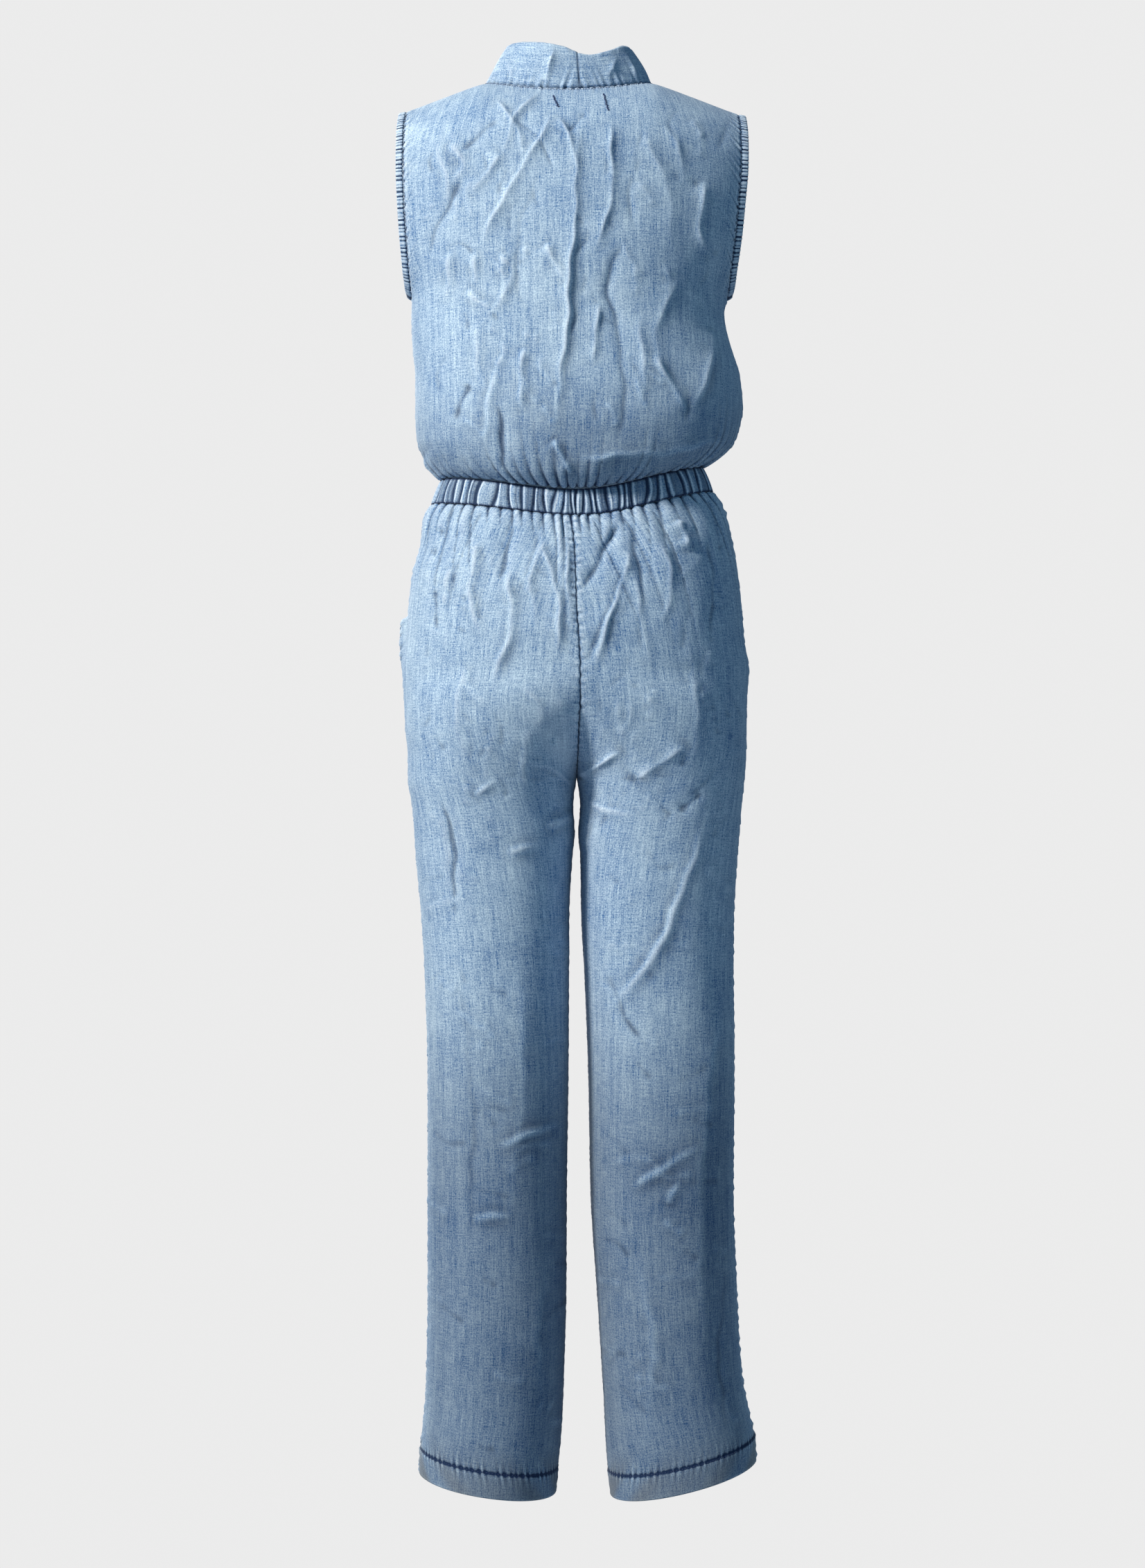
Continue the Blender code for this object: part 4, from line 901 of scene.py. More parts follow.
def frontBodice(side):
    spec = {**bodiceSpec, **frontSpec}
    end = float(heightDrop(waist["top"]))
    share, drop = np.broadcast_arrays(np.linspace(0, 1, spec["columns"])[None],
                                      end * np.linspace(0, 1, spec["rows"])[:, None])
    base = easedShelf(frontPoint(side, share, drop), spec["shelf"])
    normal = sheetNormals(base, np.array([0, 60, -200.0]))
    left, right, down, up = edgeLengths(base)
    x, z = base[..., 0], base[..., 2]
    cut = np.stack([left, drop * shoulder["round"]], -1)
    small = scatterCreases(20 + side, 30, spec["small"][side], 6 * side, (14, 44), (1.6, 4.0), (0.3, 0.7))
    calm = ease(left / 12) * ease(right / 10)
    relief = creaseRelief(frontCreases[side], x, z) + creaseRelief(small, x, z)
    relief = relief * ease(pastShoulder(drop) * 1.2) * calm
    first, last = 0.0 if side > 0 else -math.pi, float(frontAngles(side, 1.0, end))
    angle = first + share * (last - first)
    gathers, puff = gatherRelief(angle, up, 8, spec["gather"], spec["reach"], spec["sharp"])
    relief = relief + gathers * ease(right / 14) * ease(left / 8 + 0.3)
    relief += puckers(left, down, *spec["sidePucker"], 13) + puckers(right, down, *spec["edgePucker"], 14)
    wearAndShading = wearAndHollowShade(relief, spec["blur"], spec["wearAndShading"]) + gatherMark(up, puff, *spec["waistMark"])
    wearAndShading += seamMark(left, down, spec["seamMark"], 9) + seamMark(right, down, spec["seamMark"], 9)
    relief += seamDip(left, 0.9) + seamDip(right, 0.9) + seamDip(up, 1.6, 2.0) + seamDip(down, 0.9)
    points = layCloth(base, normal, relief)
    makeShell(f"front_bodice_{sideName(side)}", points, normal, wearAndShading, spec["thick"], cut)


for side in sides:
    frontBodice(side)
print("front bodices: done")


# the collar and its bands, cut in one on each side

collarColumns = ("place", "wideLeft", "wideRight", "stand")
collarRows = (
    (0.00, 38, 37, 50), (0.08, 44, 34.5, 52), (0.20, 47, 38, 54), (0.31, 47, 44, 54), (0.40, 42, 41, 34),
    (0.48, 35.5, 35.5, 13), (0.60, 30.5, 30.5, 4), (0.80, 28.5, 28.5, 0), (1.00, 28.5, 28.5, 0),
)
collarTable = asTable(collarColumns, collarRows)
collarSpec = {
    "thick": 1.4, "across": 25, "tuck": 0.06, "neckSteps": 92, "frontSteps": 261,
    "neckPlace": 0.34, "breakPlace": 0.70, "breakHeight": -175.0,  # where it leaves the neck and turns down
    "lapFrom": 0.46, "lapFull": 0.57, "lap": {1: -1.0, -1: 0.95},  # the right band lies on top
    "flatFrom": 0.40, "flatFull": 0.52, "soften": 17, "bulge": 1.5, "footSink": 1.6, "endRows": 12,
    "seamPucker": (8.5, 9, 1.2), "edgePucker": (12, 4, 0.25), "wave": (46, 0.5),
    "seamMark": (-0.8, 1.6, 0.3, 3.0, 1.6, 0.0, 6.3),
}
# creases as (share along, share up), width on either side and height in mm
collarCreases = {
    1: ((((0.058, 0.1), (0.049, 0.5), (0.04, 1.05)), 2.0, 7.0, 3.0), (((0.11, 0.2), (0.13, 0.7)), 3, 6, 1.2)),
    -1: ((((0.05, 0.2), (0.075, 0.8)), 4, 4, 1.4), (((0.11, 0.1), (0.10, 0.9)), 4, 6, 1.5)),
}


def softened(values, width):
    # moving average along the first direction, weighted most in its middle, with the ends held
    kernel, half = np.hanning(width) / np.hanning(width).sum(), width // 2
    padded = np.concatenate([np.repeat(values[:1], half, 0), values, np.repeat(values[-1:], half, 0)])
    return np.stack([np.convolve(padded[:, k], kernel, "valid") for k in range(3)], -1)


def collarSeam(side):
    # the seam line from the centre back round the neck and down the front edge, with its directions
    spec = collarSpec
    centre, corner = neckShare(neck["seamAt"]), neckShare(neck["centre"] + side * neck["halfWidth"])
    share = np.linspace(centre, corner, spec["neckSteps"])
    drop = np.maximum(neckDrop(share), 1e-4)
    steep, end = float(heightDrop(spec["breakHeight"])), float(heightDrop(waist["top"]))
    drops = np.linspace(0, end, spec["frontSteps"])[1:]
    edge = np.ones_like(drops)

    def ahead(s, d):
        return frontPoint(side, s, d)

    points = np.concatenate([backPoint(share, drop), ahead(edge, drops)])
    outward = np.concatenate([surfaceNormal(backPoint, share, drop), surfaceNormal(ahead, edge, drops)])
    outward = unitOf(softened(turnedOut(unitOf(outward), points), spec["soften"]))
    along = unitOf(softened(np.gradient(points, axis=0), spec["soften"]))
    away = unitOf(np.cross(along, outward)) * side
    lower = spec["breakPlace"] + (1 - spec["breakPlace"]) * (drops - steep) / (end - steep)
    upper = spec["neckPlace"] + (spec["breakPlace"] - spec["neckPlace"]) * drops / steep
    places = np.concatenate([spec["neckPlace"] * (share - centre) / (corner - centre),
                             np.where(drops <= steep, upper, lower)])
    return places, points, outward, away


def collarBand(side):
    spec = collarSpec
    places, points, outward, away = collarSeam(side)
    stand = np.radians(readTable(collarTable, "stand", places, "place"))[:, None]
    wide = readTable(collarTable, "wide" + sideName(side).capitalize(), places, "place")[:, None]
    reach = np.cos(stand) * away + np.sin(stand) * outward
    face = -np.sin(stand) * away + np.cos(stand) * outward
    lap = spec["lap"][side] * ease((places - spec["lapFrom"]) / (spec["lapFull"] - spec["lapFrom"]))[:, None]
    flat = ease((places - spec["flatFrom"]) / (spec["flatFull"] - spec["flatFrom"]))[:, None]
    share = np.linspace(-spec["tuck"], 1, spec["across"])[None]  # its foot lies under the bodice's edge
    base = points[:, None] + reach[:, None] * (wide * share)[..., None]
    base[..., 1] += flat * (chestDepth(base[..., 0], base[..., 2]) - base[..., 1])
    bulge = spec["bulge"] * 4 * share * (1 - share) * np.sin(stand) - spec["footSink"] * (share < 0)
    base = base + face[:, None] * (lap + bulge)[..., None]
    foot = waistTilt(math.atan2(base[-1, 0, 1], base[-1, 0, 0]), np.array(waist["top"])) + waist["top"]
    level = ease(np.linspace(0, 1, spec["endRows"]))[:, None]  # the last rows end level with the elastic
    base[-spec["endRows"] :, :, 2] += level * (foot - base[-1:, :, 2])
    normal = np.broadcast_to(face[:, None], base.shape)
    fromSeam, fromEdge, along, _ = edgeLengths(base)
    fromSeam = fromSeam - spec["tuck"] * wide
    total = along[-1:].mean()
    relief = np.zeros(along.shape)
    for path, first, second, high in collarCreases[side]:
        line = [(p * total, s * 40) for p, s in path]
        relief += creaseRelief([(line, first, second, high)], along, fromSeam)
    standing = ease((0.5 - places[:, None]) / 0.12)
    relief += puckers(np.abs(fromSeam), along, *spec["seamPucker"], 31 + side) * (0.35 + 0.65 * standing)
    pitch, high = spec["wave"]
    relief += high * ripple(along, pitch, 33 + side) * ease(fromSeam / 20) * standing
    relief += puckers(fromEdge, along, *spec["edgePucker"], 35 + side)
    wearAndShading = wearAndHollowShade(relief, 8, 0.5) + 0.22 * hump(fromEdge, 1.4)  # the folded edge is rubbed
    wearAndShading += seamMark(fromSeam, along, spec["seamMark"], 8) - 0.75 * hump(along, 1.3)
    relief += seamDip(fromSeam, 0.7) + seamDip(along, 0.6) + seamDip(fromEdge, 0.35, 1.2)
    shape = layCloth(base, normal, relief)
    cut = np.stack([fromSeam, along], -1)
    makeShell(f"collar_band_{sideName(side)}", shape, normal, wearAndShading, spec["thick"], cut)
    return shape, normal


bands = {side: collarBand(side) for side in sides}
print("collar and bands: done")


# armhole bindings: a ribbed tube with a squared section, closed round each armhole

bindingSpec = {
    "wide": 7.4, "thick": 2.4, "steps": 560, "round": 14, "square": 0.7, "gap": 0.1, "sink": 0.6,
    "ribPitch": 4.0, "rib": 0.7, "sideways": 1.1, "soften": 12, "perTurn": 2.0,
    "pale": 0.5, "dark": 2.0, "edgeDark": 0.9, "stitchIn": 1.6, "stitchOut": 0.15, "stitch": (3.1, 2.3),
}


def armholeBinding(side):
    spec = bindingSpec
    drops = np.linspace(0, float(heightDrop(underarm)), spec["steps"] // 2 + 1)

    def ahead(s, d):
        return frontPoint(side, s, d)

    def sampled(point, share):
        at = np.full_like(drops, share)
        return point(at, drops), unitOf(surfaceNormal(point, at, drops))

    back, backNormal = sampled(backPoint, 0.0 if side > 0 else 1.0)
    front, frontNormal = sampled(ahead, 0.0)
    points = np.concatenate([back[::-1], front[1:-1]])
    outward = turnedOut(np.concatenate([backNormal[::-1], frontNormal[1:-1]]), points)
    for _ in range(spec["soften"]):
        outward = unitOf(np.roll(outward, 1, 0) + 2 * outward + np.roll(outward, -1, 0))
        points = (np.roll(points, 1, 0) + 4 * points + np.roll(points, -1, 0)) / 6
    step = np.roll(points, -1, 0) - np.roll(points, 1, 0)
    along = np.cumsum(np.linalg.norm(step, axis=1)) / 2
    away = unitOf(np.cross(unitOf(step), outward)) * -side
    away = unitOf(away + spec["sideways"] * np.array([side, 0, 0]))
    outward = unitOf(outward - away * np.sum(outward * away, 1, keepdims=True))
    turns = turnsOf(spec["round"])
    rib = ripple(along, spec["ribPitch"], 41)[:, None] * spec["rib"]
    waveX, waveY = (np.sign(w) * np.abs(w) ** spec["square"] for w in (np.cos(turns), np.sin(turns)))
    halfThick = spec["thick"] / 2 + 0.8 * rib * (np.sin(turns) > -0.2)[None]  # the underside stays plain
    across = spec["wide"] / 2 + spec["gap"] + (spec["wide"] / 2 + 0.25 * rib) * waveX[None]
    out = -spec["sink"] + halfThick * waveY[None]
    tube = points[:, None] + away[:, None] * across[..., None] + outward[:, None] * out[..., None]
    normal = unitOf(tube - (points + away * (spec["wide"] / 2) - outward * spec["sink"])[:, None])
    wearAndShading = spec["pale"] - spec["dark"] * np.clip(-rib / spec["rib"], 0, 1) ** 0.7
    wearAndShading = wearAndShading - spec["edgeDark"] * hump(waveX[None] + 1, 0.25)
    index = gridIndex(len(points), spec["round"], ring=True)
    faces = gridFaces(np.concatenate([index, index[:1]]))
    flat = tube.reshape(-1, 3)
    if turnInward(flat, faces, normal):
        faces = faces[:, ::-1]
    node = f"armhole_binding_{sideName(side)}"
    piece = newPiece(node + "_cloth", flat, faces.tolist(), [faceCloth])
    cut = np.stack(np.broadcast_arrays(turns[None] * spec["perTurn"], along[:, None]), -1) * toMetres
    finishSheet(piece, node, cut.reshape(-1, 2)[faces.ravel()], wearAndShading, np.zeros(wearAndShading.shape))
    line = points - away * spec["stitchIn"] + outward * spec["stitchOut"]
    sewRow(f"binding_stitches_{sideName(side)}", line, outward, *spec["stitch"])


for side in sides:
    armholeBinding(side)
print("armhole bindings: done")


# the waistband casing: puffs of cloth over the elastic between narrow leaning valleys

casingSpec = {
    "thick": 1.6, "columns": 900, "rows": 25,
    "puff": 4.2, "sharp": 0.4, "fold": 1.2, "foldWide": 0.07, "round": 1.3,  # heights mm, widths in gathers
    "lean": 0.5, "sway": 0.12, "widths": (0.55, 1.45), "heights": (0.7, 1.2), "shades": (-0.5, 0.0),
    # painted shade in the valleys and along the second folds, and dark seams at the edges
    "valleyShade": 1.3, "valleyShadeWide": 0.12, "foldShade": 0.6, "edgeDark": 0.9, "limits": (-0.95, 0.75),
    "paleGain": 1.2, "lightAt": 0.26, "lightWide": 0.07,  # a painted highlight along one side of each puff
    "stitch": (3.2, 2.4, 0.42),
}


def waistband():
    # relief = height * |sin|^sharp across each gather, less a second fold, tallest half way down the band
    spec = casingSpec
    count, tallness = waist["gathers"], waist["top"] - waist["foot"]
    share = np.linspace(0, 1, spec["rows"])[:, None]
    angle = turnsOf(spec["columns"])[None] - math.pi
    angle, height = np.broadcast_arrays(angle, waist["top"] - share * tallness)
    wide = pick(np.cos(angle), trouserTable, height)
    deep = pick(np.sin(angle), trouserTable, height, ("back", "front"))
    flat = np.stack([np.cos(angle), np.sin(angle), 0 * angle], -1)
    base = flat * polarReach(angle, wide, deep, readTable(trouserTable, "square", height))[..., None]
    base[..., 2] = height + waistTilt(angle, height)
    rng = np.random.default_rng(17)
    lean = rng.uniform(-spec["lean"], spec["lean"], count)
    place = np.cumsum(rng.uniform(*spec["widths"], count))
    place = np.concatenate([[0.0], place]) * count / place[-1]
    turns = gatherPhase(angle) / (2 * math.pi) % count
    belly = np.sin(math.pi * share)
    bow = np.interp(turns, place, np.append(lean, lean[0])) * (share - 0.5)
    bow = bow + spec["sway"] * np.sin(turns * 2.1) * belly
    turned = (turns + bow) % count
    k = np.clip(np.searchsorted(place, turned, side="right") - 1, 0, count - 1)
    gap = place[k + 1] - place[k]
    part = (turned - place[k]) / gap
    tall = rng.uniform(*spec["heights"], count)[k] * np.sqrt(gap)
    shade = rng.uniform(*spec["shades"], count)[k]
    fold = rng.uniform(0.3, 0.7, count)[k]
    second = np.exp(-np.abs(part - fold) * gap / spec["foldWide"]) * rng.choice([0.0, 0.5, 1.0], count)[k]
    puff, barrel = np.sin(math.pi * part) ** spec["sharp"], 0.5 + 0.5 * belly
    relief = tall * spec["puff"] * (puff - 0.8) * barrel - spec["fold"] * second * barrel
    relief = relief + spec["round"] * belly
    down = share * tallness
    toEdge = np.minimum(down, tallness - down)
    valley = part * gap
    nearest = np.minimum(valley, gap - valley)
    # painted shade in the valleys between the puffs and along the second folds, and a painted highlight beside
    # each valley
    wearAndShading = shade - spec["valleyShade"] * np.exp(-((nearest / spec["valleyShadeWide"]) ** 1.5))
    wearAndShading = wearAndShading - spec["foldShade"] * second + spec["paleGain"] * hump(valley - spec["lightAt"], spec["lightWide"])
    wearAndShading = np.clip(wearAndShading - spec["edgeDark"] * hump(toEdge, 1.6), *spec["limits"])
    relief = relief + seamDip(toEdge, 1.2, 1.4) + 0.3 * ripple(turns * 13, 5.0, 9) * np.exp(-toEdge / 3)
    points = base + flat * relief[..., None]
    around = np.cumsum(np.linalg.norm(np.diff(base[12], axis=0, append=base[12, :1]), axis=-1))
    cut = np.stack(np.broadcast_arrays(around[None], down), -1)
    makeShell("waistband", points, flat, wearAndShading, spec["thick"], cut, ring=True)
    for row, name in ((1, "top"), (-2, "foot")):
        loop, out = (np.concatenate([grid[row], grid[row][:1]]) for grid in (points, flat))
        sewRow(f"waistband_stitches_{name}", loop, out, *spec["stitch"])


waistband()
print("waistband: done")


# the trouser legs

trouserSpec = {
    "thick": 0.6, "columns": {"back": 130, "front": 91}, "rows": {"back": 451, "front": 340},
    "gather": 3.6, "reach": (10, 62), "longGather": 2.6, "longReach": (45, 110),
    "outerPucker": (11, 9, 1.3), "innerPucker": (12, 6, 0.6),  # pitch, reach and height
    "outerMark": (-0.8, 1.1, 0.4, 3.6, 2.4, 0.3, 5.6), "innerMark": (-0.8, 1.1, 0.4, 3.6, 2.4, 0.3, 6.4),
    "waistMark": (0.5, 0.65, 13), "blur": 8, "wearAndShading": 1.0,
    "hemStep": 0.7, "hemPitch": 6.5, "hemPucker": 0.5, "hemRub": 0.45, "hemLine": 0.85,
    "stitch": (3.0, 2.4, 0.3, 0.2),  # pitch, length, thickness and lift
    # the first three on this line paint shade on the lower legs: how dark, from which height and over how far
    "legShade": 0.5, "legShadeFrom": -860, "legShadeOver": 260, "tint": 0.55, "tintTall": 60,
    "small": {1: (10, 150), -1: (-160, -12)},  # where small creases are scattered, in x
}
seatCreases = (
    (((-42, -458), (-27, -487), (-4, -526)), 9, 4, -4.2),
    (((-48, -500), (-24, -560), (-10, -602)), 9, 5, -1.9),
    (((-58, -505), (-63, -550), (-74, -602)), 5, 9, 1.5),
    (((30, -470), (44, -515), (40, -570)), 4, 9, 1.5),
    (((-54, -486), (-34, -545), (-19, -604)), 4, 9, 2.8),
    (((65, -456), (71, -486), (77, -524)), 8, 4, -3.2),
    (((134, -456), (146, -492)), 7, 4, -2.0),
    (((127, -500), (131, -540)), 3, 7, 1.8),
    (((142, -520), (138, -566)), 7, 4, -2.0),
    (((36, -478), (20, -525), (18, -597)), 4, 9, 2.6),
    (((-54, -455), (-63, -521), (-63, -590)), 9, 5, -2.6),
    (((-102, -452), (-112, -486)), 4, 8, 2.4),
    (((66, -500), (65, -560), (85, -622)), 4, 9, 2.4),
    (((98, -470), (104, -520), (96, -570)), 4, 9, 2.2),
    (((-84, -470), (-92, -520), (-86, -560)), 5, 9, 1.8),
    (((-130, -470), (-138, -530), (-132, -580)), 9, 5, -1.8),
    (((4, -470), (9, -520), (4, -570)), 4, 5, 1.6),
    (((133, -730), (126, -772), (123, -807), (120, -852)), 8, 3, -2.8),
    (((52, -660), (50, -738)), 8, 8, 1.1),
    (((72, -782), (52, -781), (30, -776)), 4, 6, 1.4),
    (((101, -728), (76, -709)), 4, 6, 1.5),
    (((32, -762), (4, -746)), 3, 5, 1.6),
    (((-2, -708), (-22, -697), (-46, -684)), 4, 6, 2.6),
    (((-125, -760), (-106, -819), (-89, -861), (-59, -911), (-26, -950)), 10, 5, 3.0),
    (((-127, -726), (-99, -747)), 4, 6, -1.6),
    (((-56, -716), (-80, -694), (-108, -677)), 8, 8, 2.2),
    (((6, -716), (26, -700), (54, -694)), 4, 7, 1.6),
    (((-8, -730), (-34, -744), (-60, -748)), 4, 7, 1.4),
    (((110, -600), (118, -660), (108, -706)), 8, 10, 1.5),
    (((-112, -600), (-120, -650), (-112, -700)), 9, 10, 1.5),
    (((-28, -905), (-54, -958), (-74, -985)), 9, 7, -1.3),
    (((-55, -1120), (-86, -1098), (-122, -1078)), 6, 7, 1.6),
    (((-92, -1134), (-104, -1110)), 5, 6, 1.2),
    (((-148, -905), (-132, -1010), (-122, -1150), (-128, -1300)), 14, 16, 1.8),
    (((80, -1076), (46, -1066), (12, -1060)), 5, 7, 1.4),
    (((108, -1150), (86, -1146), (64, -1144)), 5, 6, 1.2),
    (((60, -880), (54, -1010), (70, -1160)), 14, 16, 1.6),
    (((120, -900), (104, -1040), (110, -1200)), 14, 14, -1.4),
    (((30, -1180), (40, -1270), (34, -1370)), 10, 14, 1.2),
    (((-60, -1180), (-76, -1280), (-66, -1390)), 12, 14, 1.4),
    (((-150, -1200), (-144, -1280), (-150, -1380)), 8, 10, -1.2),
)
frontLegCreases = (
    (((10, -704), (48, -690), (96, -666)), 5, 9, 2.8),
    (((-10, -704), (-50, -688), (-98, -662)), 9, 5, 2.8),
    (((50, -470), (46, -530), (40, -596)), 4, 9, -2.8),
    (((-48, -470), (-44, -530), (-46, -588)), 4, 9, -2.6),
    (((96, -480), (90, -540), (98, -590)), 5, 8, 2.0),
    (((-94, -476), (-88, -530), (-96, -580)), 5, 8, 2.0),
    (((120, -756), (92, -846), (58, -936)), 8, 12, 2.6),
    (((-118, -756), (-90, -840), (-56, -926)), 12, 8, 2.6),
    (((104, -985), (92, -1090), (98, -1206)), 14, 16, 0.9),
    (((-76, -1010), (-92, -1120), (-84, -1216)), 16, 14, 0.8),
    (((36, -1024), (62, -1040), (98, -1036)), 7, 9, 1.0),
    (((-62, -1098), (-90, -1084), (-130, -1094)), 7, 9, 0.9),
    (((24, -736), (52, -752), (86, -756)), 5, 7, 1.6),
    (((-24, -738), (-56, -752), (-90, -752)), 5, 7, 1.5),
    (((60, -1220), (54, -1300), (62, -1390)), 10, 12, 1.3),
    (((-70, -1210), (-64, -1300), (-72, -1396)), 10, 12, 1.3),
)
pocket = {"foot": -547.0, "share": 0.36, "power": 0.8, "bulge": 7.0, "bulgeFoot": -610.0, "slitTop": -494.0}
# painted shade along the left leg's inseam, and a painted pool of light above the crotch
leftLeg = {"insideShade": 0.45, "insideWide": 22, "paleGain": 0.35, "lightAt": (26, -678), "lightSize": (26, 40)}


def pocketStart(height):
    # the share of the front quarter that the slant mouth takes away, 0 below its foot
    opened = np.clip((height - pocket["foot"]) / (waist["foot"] - pocket["foot"]), 0, 1)
    return pocket["share"] * opened ** pocket["power"]


def legRows(count):
    # heights from the waistband to the hem's foot, closer at the top, at the crotch and in the hem
    knots = np.array([waist["foot"], -560, -690, -740, -1380, hem["foot"]])
    rows = np.array([0, 0.20, 0.34, 0.42, 0.93, 1.0]) * (count - 1)
    return np.interp(np.arange(count), rows, knots)


def quarterAngle(side, facing, share):
    # direction from the waist's middle, so that the gathers run on from those of the casing
    if facing == "back":
        return share * math.pi / 2 if side > 0 else math.pi - share * math.pi / 2
    opened = pocket["share"] * quarter
    turned = opened + share * (quarter - opened)
    return -turned if side > 0 else -math.pi + turned


def trouserPanel(side, facing):
    spec = trouserSpec
    isBack = facing == "back"
    share, height = np.broadcast_arrays(np.linspace(0, 1, spec["columns"][facing])[None],
                                        legRows(spec["rows"][facing])[:, None])
    base = halfPoint(side, facing, share, height, np.zeros_like(height) if isBack else pocketStart(height))
    inside = np.stack([np.where(height > crotch, 0, side * 85.0), 0 * height, height], -1)
    normal = sheetNormals(base, inside)
    outer, inner, down, up = edgeLengths(base)
    x, z = base[..., 0], base[..., 2]
    seed = 60 + side + (0 if isBack else 7)
    box = spec["small"][side]
    small = scatterCreases(seed, 48, (*box, -760, -455), 12 * side, (16, 54), (2.6, 6.0), (0.2, 0.55))
    small += scatterCreases(seed + 3, 34, (*box, -1390, -760), 70, (16, 50), (3.0, 7.0), (0.15, 0.4))
    relief = creaseRelief(seatCreases if isBack else frontLegCreases, x, z) + creaseRelief(small, x, z)
    relief = relief * (ease(outer / 10) * ease(inner / 9)) * ease(down / 10)
    angle = quarterAngle(side, facing, share)
    gathers, puff = gatherRelief(angle, down, 71 if isBack else 73, spec["gather"], spec["reach"], 0.65, 0.9)
    long, _ = gatherRelief(angle, down, 74, spec["longGather"], spec["longReach"], 0.9, 1.2, 2.6)
    gathers += long * ease(down / 14)
    relief += gathers * (ease(outer / 6 + 0.3) if isBack else ease(outer / 14)) * ease(inner / 5 + 0.2)
    relief += puckers(outer, down, *spec["outerPucker"], seed + 5)
    relief += puckers(inner, down, *spec["innerPucker"], seed + 6)
    hemUp = up - (hem["line"] - hem["foot"])  # height above the hem's line of stitches
    hemPucker = ripple(outer + 0.25 * up, spec["hemPitch"], seed + 8)
    step = spec["hemStep"] * ease(-hemUp / 1.5)  # the turned-up hem is one layer thicker
    relief += step + spec["hemPucker"] * hemPucker * np.exp(-np.abs(hemUp) / 5)
    wearAndShading = wearAndHollowShade(relief, spec["blur"], spec["wearAndShading"]) + gatherMark(down, puff, *spec["waistMark"])
    lower = ease((spec["legShadeFrom"] - z) / spec["legShadeOver"])
    wearAndShading -= spec["legShade"] * lower * ease((outer + 15) / 75)  # painted shade on the lower legs, deepest away from the side seam
    wearAndShading += spec["hemRub"] * np.maximum(hemPucker, -0.5) * np.exp(-np.abs(hemUp + 1) / 4.5)
    wearAndShading += 0.3 * hump(up, 1.3) - spec["hemLine"] * hump(hemUp, 1.6)
    wearAndShading += seamMark(outer, down, spec["outerMark"], seed) + seamMark(inner, down, spec["innerMark"], seed)
    fade = ease((spec["tintTall"] - up) / spec["tintTall"])  # a faint brown tint by the hem
    tint = spec["tint"] * fade * ease(0.5 + 0.6 * ripple(outer + up, 70, 5))
    relief += seamDip(outer, 1.0) + seamDip(inner, 1.0) + seamDip(down, 1.4, 1.8) + seamDip(hemUp, 0.6, 1.0)
    if side > 0:  # loose cloth below the pocket, with painted shade along the slit of its mouth above it
        under = ease((pocket["foot"] + 2 - height) / 4) * ease((height - pocket["bulgeFoot"]) / 46)
        relief += pocket["bulge"] * under * hump(outer, 15)
        slitShade = ease((height - pocket["foot"]) / 4) * ease((pocket["slitTop"] - height) / 5)
        wearAndShading -= 0.8 * slitShade * hump(outer, 2.2)
        # painted shade along this leg's inseam below the crotch, and a painted pool of light above the crotch
        wearAndShading -= leftLeg["insideShade"] * ease((crotch - 10 - z) / 60) * np.exp(-inner / leftLeg["insideWide"])
        (lightIn, lightUp), (wideIn, wideUp) = leftLeg["lightAt"], leftLeg["lightSize"]
        wearAndShading += leftLeg["paleGain"] * hump(z - lightUp, wideUp) * hump(inner - lightIn, wideIn)
    points = layCloth(base, normal, relief)
    joined = hump(inner, 4) * ease((height - crotch + 10) / 10)  # the centre seam stays closed
    points[..., 0] += joined * (base[..., 0] - points[..., 0])
    label = f"{facing}_{sideName(side)}"
    makeShell(f"trouser_{label}", points, normal, wearAndShading, spec["thick"], np.stack([outer, -height], -1), tint)
    hemRow = int(np.argmin(np.abs(hemUp[:, spec["columns"][facing] // 2])))
    sewRow(f"hem_stitches_{label}", points[hemRow], normal[hemRow], *spec["stitch"])
    return points, normal, down


panels = {(side, facing): trouserPanel(side, facing) for side in sides for facing in ("back", "front")}
print("trouser legs: done")


# pockets, behind their slant mouths

facingSpec = {
    "thick": 0.6, "inset": 1.6, "columns": 40, "rows": 61, "tuck": 0.05, "foot": -543.0,
    "pucker": (11, 7, 0.7),  # pitch, reach and height
    "stitch": (3.2, 2.4, 0.36), "stitchFrom": 3, "stitchDown": 112, "stitchColumns": {"near": 4, "far": 8},
}


def pocketFacing(side):
    spec = facingSpec
    height = np.linspace(waist["foot"], spec["foot"], spec["rows"])[:, None]
    share = np.linspace(0, 1, spec["columns"])[None] * (pocketStart(height) + spec["tuck"])
    share, height = np.broadcast_arrays(share, height)
    base = halfPoint(side, "front", share, height)
    normal = sheetNormals(base, np.array([0, 0, -500.0]))
    outer, _, down, _ = edgeLengths(base)
    relief = puckers(outer, down, *spec["pucker"], 81 + side) + 0.5 * ripple(outer, 17, 82)
    relief -= spec["inset"] * ease(outer / 6)
    wearAndShading = wearAndHollowShade(relief, 8, 0.4) - 0.7 * hump(outer, 1.5)
    cut = np.stack([outer, -height], -1)
    shape = layCloth(base, normal, relief)
    makeShell(f"pocket_facing_{sideName(side)}", shape, normal, wearAndShading, spec["thick"], cut)
    points, normals, panelDown = panels[(side, "front")]
    rows = np.nonzero(panelDown[:, 0] < spec["stitchDown"])[0][spec["stitchFrom"] :]
    for label, column in spec["stitchColumns"].items():
        name = f"pocket_stitches_{label}_{sideName(side)}"
        sewRow(name, points[rows, column], normals[rows, column], *spec["stitch"])


for side in sides:
    pocketFacing(side)
print("pockets: done")


# sewing lines that stand on the finished cloth: two short tucks below the neck, and the neck seam

